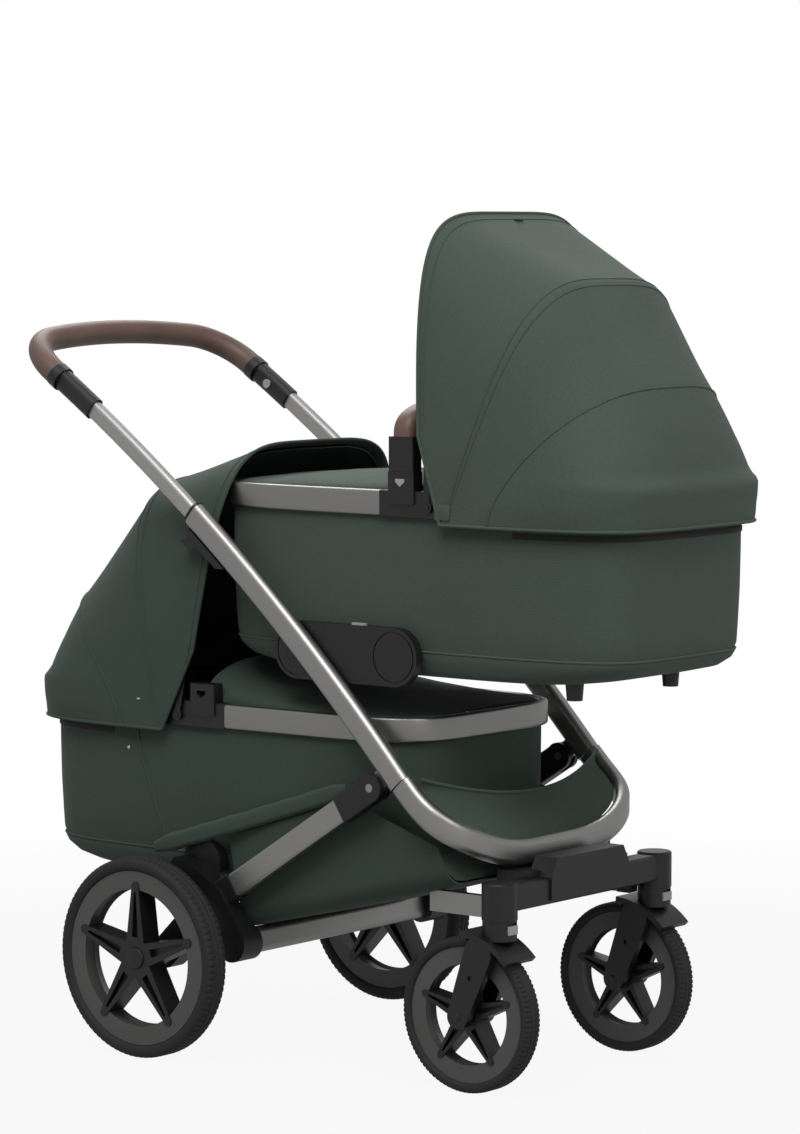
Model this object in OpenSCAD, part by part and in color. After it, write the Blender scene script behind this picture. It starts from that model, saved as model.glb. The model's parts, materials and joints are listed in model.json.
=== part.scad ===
// Twin pram: an A-frame chassis on four wheels that carries two carrycots, one above the other.
// Lengths are in millimetres, +X points forward, +Z up, and the floor lies at Z = 0.
// Places along the pram are measured from the rear axle and moved to the middle at the end.

/* [Wheels] */
// Radius of a rear wheel over its tyre
rear_r = 145; // [140:1:150]
// Distance between the middle planes of the rear wheels
rear_track = 570; // [566:1:600]
// Radius of a front wheel over its tyre
front_r = 109; // [104:1:111]
// Distance between the two swivel axes
front_track = 370; // [364:1:376]
// Distance from the rear axle forward to the swivel axes
wheelbase = 568; // [564:1:580]
// Distance that a front axle trails behind its swivel axis
trail = 49; // [46:1:52]
// Width of a rear tyre
rear_tyre_w = 40; // [36:1:42]
// Width of a front tyre
front_tyre_w = 34; // [32:1:36]

/* [Frame tubes] */
// Distance between the middle planes of the two side tubes
tube_gap = 443; // [441:1:452]
// Height of the flat-oval side tube
tube_h = 38; // [36:1:40]
// Thickness of the flat-oval side tube
tube_t = 22; // [21:0.5:23]
// Wall of the tubes
tube_wall = 2; // [1.5:0.1:2.2]
// Radius of the gentle curve of a side tube
tube_bend_r = 3307; // [3200:10:3400]
// Distance from the rear axle to the upper end of a side tube
tube_top_x = 46; // [42:1:50]
// Height of the upper end of a side tube
tube_top_z = 783; // [780:1:788]
// Slope of a side tube at its upper end, in degrees
tube_top_slope = 39; // [38.5:0.1:39.5]
// Length of a side tube from its upper end to the front loop
tube_len = 522; // [516:1:528]
// Distance that the front loop reaches ahead of the side tubes
loop_reach = 99; // [94:1:104]
// Height of the middle of the front loop above the floor
loop_z = 321; // [318:1:326]

/* [Handlebar] */
// Height of the flat-oval inner tube that telescopes
inner_h = 28; // [26:1:30]
// Thickness of the inner tube
inner_t = 17; // [15:0.5:17]
// Length of inner tube that shows between the side tube and its grip sleeve
inner_shown = 241; // [220:1:260]
// Length of inner tube that stays inside the side tube
inner_hidden = 150; // [120:1:170]
// Length of a grip sleeve
sleeve_len = 74; // [66:1:82]
// Radius of the leather-covered grip
grip_r = 18; // [16:0.5:20]
// Radius of the two corners of the grip
grip_corner = 80; // [70:1:90]

/* [Carrycots] */
// Length of a carrycot over its rim
cot_len = 742; // [736:1:748]
// Width of a carrycot over its rim
cot_w = 398; // [394:1:400]
// Height of the rim
rim_h = 36; // [34:1:38]
// Thickness of the rim
rim_t = 14; // [12:1:15]
// Depth of the fabric tub under the rim
tub_depth = 222; // [216:1:224]
// Place of the upper carrycot's middle ahead of the rear axle
upper_cot_x = 398; // [396:1:402]
// Height of the upper rim's middle above the floor
upper_cot_z = 811; // [810:1:816]
// Place of the lower carrycot's middle ahead of the rear axle
lower_cot_x = 52; // [48:1:54]
// Height of the lower rim's middle above the floor
lower_cot_z = 491; // [488:1:492]
// Distance from the cot's middle back to the hood pivot
hood_pivot_u = 57; // [55:1:60]
// Reach of the front hood bow from its pivot to the fabric
bow_reach = 400; // [392:1:406]
// Lean of the lower hood past upright, in degrees
lower_lean = 11.5; // [11:0.5:13]

/* [Hidden] */
$fn = 48;

// Overrun of every cut, running clearance of a shaft, gap between pieces that move past each other
over = 1;
run_gap = 0.05;
gap = 0.3;
seat_gap = 0.15;

// Middle of the pram's length, halfway between the two carrycots
x_mid = (upper_cot_x + lower_cot_x) / 2;
tube_y = tube_gap / 2;

// Side tube: an arc about a far centre, measured by the length run down from its upper end
arc_a0 = 90 - tube_top_slope;
arc_cx = tube_top_x - tube_bend_r * cos(arc_a0);
arc_cz = tube_top_z - tube_bend_r * sin(arc_a0);
function arc_angle(run) = arc_a0 - run / tube_bend_r * 180 / PI;
function on_tube(run, rise) = [
    arc_cx + (tube_bend_r + rise) * cos(arc_angle(run)),
    arc_cz + (tube_bend_r + rise) * sin(arc_angle(run))
];
tube_end = on_tube(tube_len, 0);
end_slope = 90 - arc_angle(tube_len);

// Superellipse: a rounded rectangle whose sides stay slightly crowned
round_power = 5;
function sgn_pow(v, p) = sign(v) * pow(abs(v), p);
function oval(a, b, t, p = round_power) = [a * sgn_pow(cos(t), 2 / p), b * sgn_pow(sin(t), 2 / p)];
function oval_side(share, p = round_power) = pow(max(1 - pow(abs(share), p), 0), 1 / p);
function unit(v) = v / norm(v);
half_step_share = 0.5;

// Skin over rings with equal counts of points, closed by its two end rings
function ring_faces(m, n) = concat(
    [for (j = [0 : m - 2]) for (i = [0 : n - 1]) [j * n + i, (j + 1) * n + i, (j + 1) * n + (i + 1) % n]],
    [for (j = [0 : m - 2]) for (i = [0 : n - 1]) [j * n + i, (j + 1) * n + (i + 1) % n, j * n + (i + 1) % n]]
);
module skin(rings) {
    n = len(rings[0]);
    m = len(rings);
    polyhedron(points = [for (r = rings) each r], faces = concat(
        [[for (i = [0 : n - 1]) i]],
        [[for (i = [n - 1 : -1 : 0]) (m - 1) * n + i]],
        ring_faces(m, n)
    ), convexity = 8);
}
// Pipe wall: outer rings out and inner rings back, joined into one closed wall
module pipe_skin(outer, inner) {
    rings = concat(outer, [for (j = [len(inner) - 1 : -1 : 0]) inner[j]], [outer[0]]);
    n = len(outer[0]);
    m = len(rings);
    last = (m - 1) * n;
    polyhedron(points = [for (j = [0 : m - 2]) each rings[j]], faces = [
        for (f = ring_faces(m, n)) [for (v = f) v >= last ? v - last : v]
    ], convexity = 8);
}

// Sheet with thickness: outer rows and inner rows of points, closed along all four edges
function backwards(list) = [for (i = [len(list) - 1 : -1 : 0]) list[i]];
module sheet_skin(outer, inner) {
    n = len(outer[0]);
    m = len(outer);
    last = (m - 1) * 2 * n;
    points = [for (i = [0 : m - 1]) each concat(backwards(outer[i]), inner[i])];
    polyhedron(points = points, faces = concat(
        [for (k = [0 : n - 2]) [n - 2 - k, n - 1 - k, n + k]],
        [for (k = [0 : n - 2]) [n - 2 - k, n + k, n + k + 1]],
        [for (k = [0 : n - 2]) [last + n + k, last + n - 1 - k, last + n - 2 - k]],
        [for (k = [0 : n - 2]) [last + n + k + 1, last + n + k, last + n - 2 - k]],
        ring_faces(m, 2 * n)
    ), convexity = 8);
}

// Rings of a section carried along a path: each section point is [across, up]
function path_tangent(path, i) = unit(path[min(i + 1, len(path) - 1)] - path[max(i - 1, 0)]);
function sweep_rings(path, section) = [
    for (i = [0 : len(path) - 1])
        let (
            t = path_tangent(path, i),
            up = unit([0, 0, 1] - t[2] * t),
            across = cross(up, t)
        )
            [for (q = section) path[i] + q[0] * across + q[1] * up]
];
function round_section(r, sides) = [
    for (k = [0 : sides - 1]) let (a = 360 * k / sides) r * [cos(a), sin(a)]
];
function flat_oval_section(h, t, sides) = [
    for (k = [0 : sides - 1])
        let (a = 360 * (k + half_step_share) / sides)
            [t / 2 * cos(a), t / 2 * sin(a) + sign(sin(a)) * (h - t) / 2]
];

// Flat outlines with exact round ends
module stadium(h, t) {
    square([t, h - t], center = true);
    for (s = [-1, 1]) translate([0, s * (h - t) / 2]) circle(d = t);
}
module round_rect(w, h, r) {
    square([w - 2 * r, h], center = true);
    square([w, h - 2 * r], center = true);
    for (x = [-1, 1]) for (y = [-1, 1]) translate([x * (w / 2 - r), y * (h / 2 - r)]) circle(r);
}
// Bar between two round ends of different radius, with its sides tangent to both
module taper_bar(p, rp, q, rq) {
    along = atan2(q[1] - p[1], q[0] - p[0]);
    lean = acos((rp - rq) / norm(q - p));
    function rim_point(c, r, s) = c + r * [cos(along + s * lean), sin(along + s * lean)];
    translate(p) circle(rp);
    translate(q) circle(rq);
    polygon([rim_point(p, rp, 1), rim_point(q, rq, 1), rim_point(q, rq, -1), rim_point(p, rp, -1)]);
}

// Places: moves a piece measured from the rear axle, stands an outline up in the XZ plane
module placed() translate([-x_mid, 0, 0]) children();
module both_sides() {
    children();
    mirror([0, 1, 0]) children();
}
module side_plate(y0, y1) translate([0, y1, 0]) rotate([90, 0, 0]) linear_extrude(y1 - y0) children();
module along_y(p, y0, y1, r) translate([p[0], y0, p[1]]) rotate([-90, 0, 0]) cylinder(r = r, h = y1 - y0);
// Stretch of the side tube's arc, filled by an outline
module tube_stretch(run0, run1)
    translate([arc_cx, tube_y, arc_cz]) rotate([90, -arc_angle(run1), 0])
        rotate_extrude(angle = arc_angle(run0) - arc_angle(run1), $fn = 720)
            translate([tube_bend_r, 0]) rotate(90) children();
// Wheel piece turned about its own axle
module turned(p, y) translate([p[0], y, p[1]]) rotate([-90, 0, 0]) rotate_extrude($fn = 96) children();

// Side tubes with the lugs and pins that carry the folding legs
sleeve_h = 40;
sleeve_t = 25;
lug_t = 8;
lug_r = 13;
leg_pin_r = 6;
leg_gap = 1;
leg_pivot_share = 0.95;
leg_pivot = on_tube(tube_len * leg_pivot_share, -(tube_h + sleeve_h) / 2 - leg_gap);
module side_tubes() color("#8a8885") placed() both_sides() {
    difference() {
        union() {
            tube_stretch(0, tube_len) stadium(tube_h, tube_t);
            side_plate(tube_y - lug_t / 2, tube_y + lug_t / 2)
                taper_bar(leg_pivot, lug_r, on_tube(tube_len * leg_pivot_share, 0), lug_r);
        }
        tube_stretch(-over, tube_len - lug_r) stadium(tube_h - 2 * tube_wall, tube_t - 2 * tube_wall);
    }
    along_y(leg_pivot, tube_y - sleeve_t / 2, tube_y + sleeve_t / 2, leg_pin_r);
}

// Front loop: the same tube bent down to level and round to the other side
loop_steps = 11;
loop_power = 4;
loop_drop = tube_end[1] - loop_z;
loop_level_r = loop_drop / (1 - cos(end_slope));
loop_level_run = loop_level_r * sin(end_slope);
loop_turns = [for (k = [-loop_steps : loop_steps]) 90 * k / loop_steps];
loop_gap = 2.6;
function loop_plan(k) = [tube_end[0] + loop_gap, 0]
    + oval(loop_reach - loop_gap, tube_y, loop_turns[k], loop_power);
function run_to(k) = k == 0 ? 0 : run_to(k - 1) + norm(loop_plan(k) - loop_plan(k - 1));
loop_half = run_to(loop_steps);
function loop_height(run) = let (left = max(loop_level_run - run, 0))
    loop_z + loop_level_r - sqrt(pow(loop_level_r, 2) - pow(left, 2));
function loop_point(k) = concat(loop_plan(k), loop_height(min(run_to(k), 2 * loop_half - run_to(k))));
loop_path = [for (k = [0 : 2 * loop_steps]) loop_point(k)];
module front_loop() color("#8a8885") placed() pipe_skin(
    sweep_rings(loop_path, flat_oval_section(tube_h, tube_t, 14)),
    sweep_rings(loop_path, flat_oval_section(tube_h - 2 * tube_wall, tube_t - 2 * tube_wall, 14))
);

// Hook clips: a bush round the upper tube end and the fold hook under it
bush_len = 4;
bush_proud = 0.6;
hook_w = 14;
hook_drop = 24;
hook_len = 88;
hook_start = 8;
hook_shares = [0.86, 0.45, 0.36, 0.5, 0.24, 0.02, 0.1, 0.55];
module hook_clips() color("#232323") placed() both_sides() {
    difference() {
        tube_stretch(-bush_len, 0) stadium(tube_h + 2 * bush_proud, tube_t + 2 * bush_proud);
        tube_stretch(-bush_len - over, over) stadium(inner_h + 2 * gap, inner_t + 2 * gap);
    }
    side_plate(tube_y - hook_w / 2, tube_y + hook_w / 2) polygon([
        on_tube(hook_start, -tube_h / 2 - seat_gap),
        on_tube(hook_start + hook_len, -tube_h / 2 - seat_gap),
        on_tube(hook_start + hook_len * hook_shares[0], -tube_h / 2 - hook_drop * hook_shares[1]),
        on_tube(hook_start + hook_len * hook_shares[2], -tube_h / 2 - hook_drop * hook_shares[3]),
        on_tube(hook_start + hook_len * hook_shares[4], -tube_h / 2 - hook_drop),
        on_tube(hook_start - hook_len * hook_shares[5], -tube_h / 2 - hook_drop),
        on_tube(hook_start + hook_len * hook_shares[6], -tube_h / 2 - hook_drop * hook_shares[7])
    ]);
}

// Front beam: a box beam with a swivel housing at each end, a saddle for the loop and a raised middle
caster_x = wheelbase;
caster_y = front_track / 2;
housing_r = 25;
housing_z0 = 246;
housing_z1 = 297;
housing_cap = 2;
stem_r = 8;
stem_top = 288;
beam_d = 36;
beam_z0 = 256;
beam_z1 = 294;
beam_round = 6;
saddle_w = 236;
cover_w = 186;
cover_slope = 14;
cover_z1 = 320;
cover_skin = 3;
arm_y = 150;
arm_t = 12;
arm_h = 30;
arm_z = 254.5;
arm_x0 = 424;
arm_socket = 16;
arm_cheek = 4;
module front_beam() color("#2a2a2a") placed() difference() {
    union() {
        translate([caster_x, 0, (beam_z0 + beam_z1) / 2]) rotate([90, 0, 0])
            linear_extrude(front_track, center = true) round_rect(beam_d, beam_z1 - beam_z0, beam_round);
        both_sides() translate([caster_x, caster_y, housing_z0]) {
            cylinder(r = housing_r, h = housing_z1 - housing_z0 - housing_cap);
            translate([0, 0, housing_z1 - housing_z0 - housing_cap])
                cylinder(r1 = housing_r, r2 = housing_r - housing_cap, h = housing_cap);
        }
        translate([tube_end[0] + loop_reach - tube_t / 2, -saddle_w / 2, beam_z0 + beam_round])
            cube([caster_x - tube_end[0] - loop_reach + tube_t / 2, saddle_w,
                loop_z - tube_h / 2 - seat_gap - beam_z0 - beam_round]);
        translate([caster_x - beam_d / 2, 0, 0]) rotate([90, 0, 90])
            linear_extrude(beam_d + cover_skin) polygon([
                [-cover_w / 2, beam_z0 + beam_round],
                [cover_w / 2, beam_z0 + beam_round],
                [cover_w / 2, beam_z1],
                [cover_w / 2 - cover_slope, cover_z1],
                [cover_slope - cover_w / 2, cover_z1],
                [-cover_w / 2, beam_z1]
            ]);
        for (s = [-1, 1]) translate([caster_x - beam_d / 2 - arm_socket, s * arm_y - arm_t / 2 - arm_cheek,
            arm_z - arm_h / 2])
            cube([arm_socket + beam_round, arm_t + 2 * arm_cheek, arm_h + arm_cheek]);
    }
    both_sides() translate([caster_x, caster_y, housing_z0 - over])
        cylinder(r = stem_r + run_gap, h = stem_top - housing_z0 + over);
    for (s = [-1, 1]) translate([caster_x - beam_d / 2 - arm_socket - over, s * arm_y - arm_t / 2 - seat_gap,
        arm_z - arm_h / 2 - over])
        cube([arm_socket, arm_t + 2 * seat_gap, arm_h + over + seat_gap]);
}

// Basket arms: flat bars from the beam back to the front corners of the basket
module basket_arms() color("#7c7b79") placed() for (s = [-1, 1])
    translate([arm_x0, s * arm_y - arm_t / 2, arm_z - arm_h / 2])
        cube([caster_x - beam_d / 2 - over - seat_gap - arm_x0, arm_t, arm_h]);

// Footrest: fabric stretched inside the loop, with a free upper edge that dips in the middle
sling_t = 3;
sling_inset = 15.5;
sling_lift = 12;
sling_end = [449, 431];
sling_mid = [489, 398];
sling_first = 1;
sling_rows = 5;
sling_dip = 10;
function sling_low(k) = loop_path[k] + [0, 0, sling_lift] -
    sling_inset * unit([loop_path[k][0] - tube_end[0], loop_path[k][1], 0]);
function sling_top(k) = let (s = (k - loop_steps) / (loop_steps - sling_first))
    [sling_mid[0] + (sling_end[0] - sling_mid[0]) * s * s, (tube_y - tube_t / 2 - sling_t) * s,
        sling_mid[1] + (sling_end[1] - sling_mid[1]) * s * s];
function sling_point(k, v) = let (low = sling_low(k))
    low + (sling_top(k) - low) * v - [sling_dip * sin(180 * v), 0, 0];
module footrest() color("#3d4a41") placed() skin([
    for (k = [sling_first : 2 * loop_steps - sling_first])
        concat(
            [for (j = [0 : sling_rows]) sling_point(k, j / sling_rows)],
            [for (j = [sling_rows : -1 : 0]) sling_point(k, j / sling_rows) + [sling_t, 0, sling_t]]
        )
]);

// Basket: a fabric trough with a padded hem on each side, slung between the legs and the front arms
basket_w = 394;
basket_t = 2.5;
basket_round = 30;
basket_steps = 12;
basket_bows = 5;
basket_top_x0 = 88;
basket_top_gap = 98;
basket_top_x1 = wheelbase - basket_top_gap;
basket_low_x0 = 124;
basket_low_gap = 78;
basket_low_x1 = wheelbase - basket_low_gap;
basket_low_z0 = 193;
basket_low_z1 = 289;
hem_h = 26;
hem_t = 15;
hem_foot = [-24, 296];
hem_peak = [311, 405];
hem_front_z = 352;
hem_out = 226;
hem_ease = 220;
hem_proud = 2;
hem_under_share = 0.57;
hem_steps = 10;
hem_slope = (hem_peak[1] - hem_foot[1]) / (hem_peak[0] - hem_foot[0]);
function hem_z(x) = x < hem_peak[0]
    ? hem_peak[1] + (x - hem_peak[0]) * hem_slope
    : hem_peak[1] + (hem_front_z - hem_peak[1]) * (x - hem_peak[0]) / (basket_top_x1 - hem_peak[0]);
function basket_top(v) = let (x = basket_top_x0 + (basket_top_x1 - basket_top_x0) * v)
    [x, hem_z(x) - hem_h * hem_under_share];
function basket_low(v) = [
    basket_low_x0 + (basket_low_x1 - basket_low_x0) * v,
    basket_low_z0 + (basket_low_z1 - basket_low_z0) * v
];
function basket_half(v, inset) = let (top = basket_top(v), low = basket_low(v), r = basket_round) concat(
    [[top[0], basket_w / 2 - inset, top[1]]],
    [for (k = [0 : basket_bows])
        let (a = 90 * k / basket_bows, z = low[1] + r - (r - inset) * sin(a))
            [low[0] + (top[0] - low[0]) * (z - low[1]) / (top[1] - low[1]),
                basket_w / 2 - r + (r - inset) * cos(a), z]]
);
function flip(p) = [p[0], -p[1], p[2]];
function basket_row(v, inset) = concat(
    basket_half(v, inset),
    backwards([for (p = basket_half(v, inset)) flip(p)])
);
hem_path = [
    for (k = [0 : hem_steps])
        let (
            x = hem_foot[0] + (hem_peak[0] - hem_foot[0]) * k / hem_steps,
            near = max(1 - (x - hem_foot[0]) / hem_ease, 0)
        )
            [x, basket_w / 2 + hem_proud + (hem_out - basket_w / 2) * near * near * (3 - 2 * near), hem_z(x)]
];
module basket() color("#33403a") placed() {
    sheet_skin(
        [for (k = [0 : basket_steps]) basket_row(k / basket_steps, 0)],
        [for (k = [0 : basket_steps]) basket_row(k / basket_steps, basket_t)]
    );
    both_sides() skin(sweep_rings(hem_path, flat_oval_section(hem_h, hem_t, 12)));
}

// Upper adapters: flat arms on the inner side of the side tubes, each with a half-round seat for a cot
socket_u = -3.5;
socket_drop = 213;
socket_r = 29;
seat_lip = 5;
seat_depth = 4.5;
adapter_r = 41;
adapter_t = 14;
adapter_y1 = tube_y - tube_t / 2 - seat_gap;
adapter_y0 = adapter_y1 - adapter_t;
adapter_hub = [228, 598];
hub_groove_r = 34;
hub_groove = 2;
hub_groove_depth = 1.5;
upper_seat = [upper_cot_x - socket_u, upper_cot_z - socket_drop];
lower_seat = [lower_cot_x + socket_u, lower_cot_z - socket_drop];
upper_lift = 26;
lower_lift = 170;
upper_seat_sweep = 180;
lower_seat_sweep = 122;
button_w = 22;
button_t = 7;
button_h = 9;
button_proud = 3;
button_x = 336;
button_z = adapter_hub[1] + adapter_r - button_h + button_proud;
module half_seat(p, lift, sweep) translate([p[0], adapter_y0 + over, p[1]])
    rotate([90, 0, 0]) rotate(lift + 90) rotate_extrude(angle = sweep)
        translate([socket_r + gap, 0]) square([seat_lip, seat_depth + over]);
module upper_adapters() color("#262626") placed() both_sides() difference() {
    union() {
        side_plate(adapter_y0, adapter_y1) taper_bar(adapter_hub, adapter_r, upper_seat, adapter_r);
        half_seat(upper_seat, upper_lift, upper_seat_sweep);
    }
    for (p = [adapter_hub, upper_seat]) turned(p, adapter_y1)
        translate([hub_groove_r, -hub_groove_depth]) square([hub_groove, 2 * hub_groove_depth]);
    translate([button_x - button_w / 2 - gap, (adapter_y0 + adapter_y1 - button_t) / 2 - gap,
        button_z - 2 * button_proud])
        cube([button_w + 2 * gap, button_t + 2 * gap, adapter_r]);
}
module adapter_buttons() color("#a5a5a3") placed() both_sides()
    translate([button_x - button_w / 2, (adapter_y0 + adapter_y1 - button_t) / 2, button_z])
        cube([button_w, button_t, button_h]);

// Handlebar: inner tubes on the same arc, a bent core tube and the leather-covered grip round it
sleeve_run = -inner_shown - sleeve_len;
grip_foot = on_tube(sleeve_run, 0);
grip_slope = 33.5;
grip_leg = 25;
grip_crown = 10;
core_r = 13.5;
corner_steps = 7;
crown_steps = 5;
crown_r = grip_corner + (tube_y - grip_corner) / sin(grip_crown);
crown_q = grip_leg + grip_corner * cos(grip_crown) - crown_r * cos(grip_crown);
grip_half = concat(
    [[0, tube_y]],
    [for (k = [0 : corner_steps])
        let (a = (90 - grip_crown) * k / corner_steps)
            [grip_leg + grip_corner * sin(a), tube_y - grip_corner + grip_corner * cos(a)]],
    [for (k = [1 : crown_steps])
        let (b = grip_crown * (1 - k / crown_steps))
            [crown_q + crown_r * cos(b), crown_r * sin(b)]]
);
function grip_place(q) = [grip_foot[0] - q[0] * cos(grip_slope), q[1], grip_foot[1] + q[0] * sin(grip_slope)];
grip_path = concat(
    [for (q = grip_half) grip_place([q[0] + gap, -q[1]])],
    [for (i = [len(grip_half) - 2 : -1 : 0]) grip_place([grip_half[i][0] + gap, grip_half[i][1]])]
);
module handle_tube() color("#b5b4b1") placed() {
    both_sides() difference() {
        tube_stretch(sleeve_run, inner_hidden) stadium(inner_h, inner_t);
        tube_stretch(sleeve_run + sleeve_len / 2, inner_hidden + over)
            stadium(inner_h - 2 * tube_wall, inner_t - 2 * tube_wall);
    }
    skin(sweep_rings(grip_path, round_section(core_r, 14)));
}
module handle_grip() color("#6f5a4f") placed() pipe_skin(
    sweep_rings(grip_path, round_section(grip_r, 14)),
    sweep_rings(grip_path, round_section(core_r + gap, 14))
);

// Grip sleeves with a round release button on their inner sides
grip_sleeve_h = 34;
grip_sleeve_t = 25;
handle_button_r = 7;
handle_button_t = 3;
handle_button_travel = 1.5;
handle_button_proud = 2;
sleeve_button_share = 0.42;
sleeve_inner_y = tube_y - grip_sleeve_t / 2;
handle_button_y1 = sleeve_inner_y - handle_button_proud + handle_button_t;
handle_button_at = on_tube(sleeve_run + sleeve_len * sleeve_button_share, 0);
module handle_sleeves() color("#333333") placed() both_sides() difference() {
    tube_stretch(sleeve_run, sleeve_run + sleeve_len) stadium(grip_sleeve_h, grip_sleeve_t);
    tube_stretch(sleeve_run - over, sleeve_run + sleeve_len + over)
        stadium(inner_h + 2 * seat_gap, inner_t + 2 * seat_gap);
    along_y(handle_button_at, sleeve_inner_y - over, handle_button_y1 + handle_button_travel + gap,
        handle_button_r + gap);
}
module handle_button(side) color("#9b9b9a") placed() mirror([0, side < 0 ? 1 : 0, 0])
    along_y(handle_button_at, sleeve_inner_y - handle_button_proud, handle_button_y1, handle_button_r);

// Folding rear legs: a sleeve at the pivot, a flat strut and a bracket at the wheel
strut_h = 35;
strut_t = 20;
strut_round = 4;
strut_low = [88, 231];
strut_slope = atan2(leg_pivot[1] - strut_low[1], leg_pivot[0] - strut_low[0]);
strut_run = norm(leg_pivot - strut_low);
sleeve_end = 66;
sleeve_bore = 34;
socket_depth = 44;
module leg_bar(x0, x1, h, t, r) translate([leg_pivot[0], tube_y, leg_pivot[1]])
    rotate([0, 180 - strut_slope, 0]) translate([x0, 0, 0])
        rotate([90, 0, 90]) linear_extrude(x1 - x0) round_rect(t, h, r);
module struts() color("#8a8885") placed() both_sides() difference() {
    leg_bar(sleeve_bore + gap, strut_run - gap, strut_h, strut_t, strut_round);
    leg_bar(sleeve_bore - over, strut_run + over,
        strut_h - 2 * tube_wall, strut_t - 2 * tube_wall, tube_wall);
}
module strut_sleeves() color("#262626") placed() both_sides() difference() {
    union() {
        leg_bar(0, sleeve_end, sleeve_h, sleeve_t, strut_round);
        along_y(leg_pivot, tube_y - sleeve_t / 2, tube_y + sleeve_t / 2, sleeve_h / 2);
    }
    leg_bar(sleeve_bore, sleeve_end + over, strut_h + 2 * seat_gap, strut_t + 2 * seat_gap, strut_round);
    along_y(leg_pivot, 0, 2 * tube_y, leg_pin_r + run_gap);
    translate([leg_pivot[0], tube_y, leg_pivot[1]]) rotate([0, 180 - strut_slope, 0])
        translate([-sleeve_h, -lug_t / 2 - gap, -sleeve_h])
            cube([sleeve_h + lug_r + 2 * over, lug_t + 2 * gap, 2 * sleeve_h]);
}

// Rear brackets: hub arm, strut socket, cross-bar boss and the seat for the lower cot
bracket_in = 12;
bracket_out = 18;
bracket_y0 = tube_y - bracket_in;
bracket_y1 = tube_y + bracket_out;
hub = [0, rear_r];
hub_arm_r = 23;
bar_at = [127, 170];
bar_h = 38;
bar_t = 20;
bar_lean = -12;
bar_end_y = 198;
bar_seat = 10;
bar_boss_r = 26;
bracket_top = [28, 272];
bracket_top_r = 16;
bracket_web = 8;
lower_adapter_r = 35;
axle_r = 6;
axle_boss_r = 18;
axle_tip = 8;
module rear_brackets() color("#232323") placed() both_sides() difference() {
    union() {
        side_plate(bracket_y0, bracket_y1) {
            taper_bar(hub, hub_arm_r, strut_low, hub_arm_r);
            taper_bar(strut_low, hub_arm_r, bar_at, bar_boss_r);
            taper_bar(bracket_top, bracket_top_r, strut_low, hub_arm_r);
        }
        side_plate(tube_y - bracket_web / 2, tube_y + bracket_web / 2)
            polygon([hub, bar_at, strut_low, bracket_top]);
        leg_bar(strut_run - socket_depth, strut_run, sleeve_h, sleeve_t, strut_round);
        along_y(hub, bracket_y1 - over, rear_track / 2 - rear_tyre_w / 2 - gap, axle_boss_r);
        along_y(bar_at, bar_end_y, bracket_y1, bar_boss_r);
        side_plate(adapter_y0, bracket_y0 + over)
            taper_bar(lower_seat, lower_adapter_r, bracket_top, bracket_top_r);
        half_seat(lower_seat, lower_lift, lower_seat_sweep);
    }
    leg_bar(strut_run - socket_depth - over, strut_run,
        strut_h + 2 * seat_gap, strut_t + 2 * seat_gap, strut_round);
    along_y(hub, 0, rear_track, axle_r + run_gap);
    translate([bar_at[0], bar_end_y - over, bar_at[1]]) rotate([-90, 0, 0])
        linear_extrude(bar_seat + over) rotate(bar_lean) stadium(bar_h + 2 * seat_gap, bar_t + 2 * seat_gap);
}

// Cross bar with two ears behind its middle, and the brake pedal that rocks between them
pedal_w = 70;
pedal_t = 9;
pedal_len = 42;
ear_t = 6;
ear_r = 9;
pedal_pin_r = 4;
pedal_at = [bar_at[0] - bar_t / 2 - ear_r - 2 * over, bar_at[1]];
module rear_cross_bar() color("#7c7b79") placed() difference() {
    union() {
        difference() {
            translate([bar_at[0], -bar_end_y - bar_seat + gap, bar_at[1]]) rotate([-90, 0, 0])
                linear_extrude(2 * (bar_end_y + bar_seat - gap)) rotate(bar_lean) stadium(bar_h, bar_t);
            translate([bar_at[0], -bar_end_y - bar_seat - over, bar_at[1]]) rotate([-90, 0, 0])
                linear_extrude(2 * (bar_end_y + bar_seat + over)) rotate(bar_lean)
                    stadium(bar_h - 2 * tube_wall, bar_t - 2 * tube_wall);
        }
        both_sides() side_plate(pedal_w / 2 + gap, pedal_w / 2 + gap + ear_t) difference() {
            taper_bar(pedal_at, ear_r, [bar_at[0], bar_at[1]], ear_r);
            translate([bar_at[0] - bar_t / 2 + tube_wall, bar_at[1] - ear_r])
                square([bar_t + ear_r, 2 * ear_r]);
        }
    }
    along_y(pedal_at, -pedal_w, pedal_w, pedal_pin_r + run_gap);
}
module brake_pedal() color("#2a2a2a") placed() {
    side_plate(-pedal_w / 2, pedal_w / 2)
        taper_bar(pedal_at, ear_r, pedal_at - [pedal_len, 0], pedal_t / 2);
    along_y(pedal_at, -pedal_w / 2 - ear_t, pedal_w / 2 + ear_t, pedal_pin_r);
}
module rear_axles() color("#9a9a9a") placed() both_sides()
    along_y(hub, bracket_y0, rear_track / 2 + axle_tip, axle_r);

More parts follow.
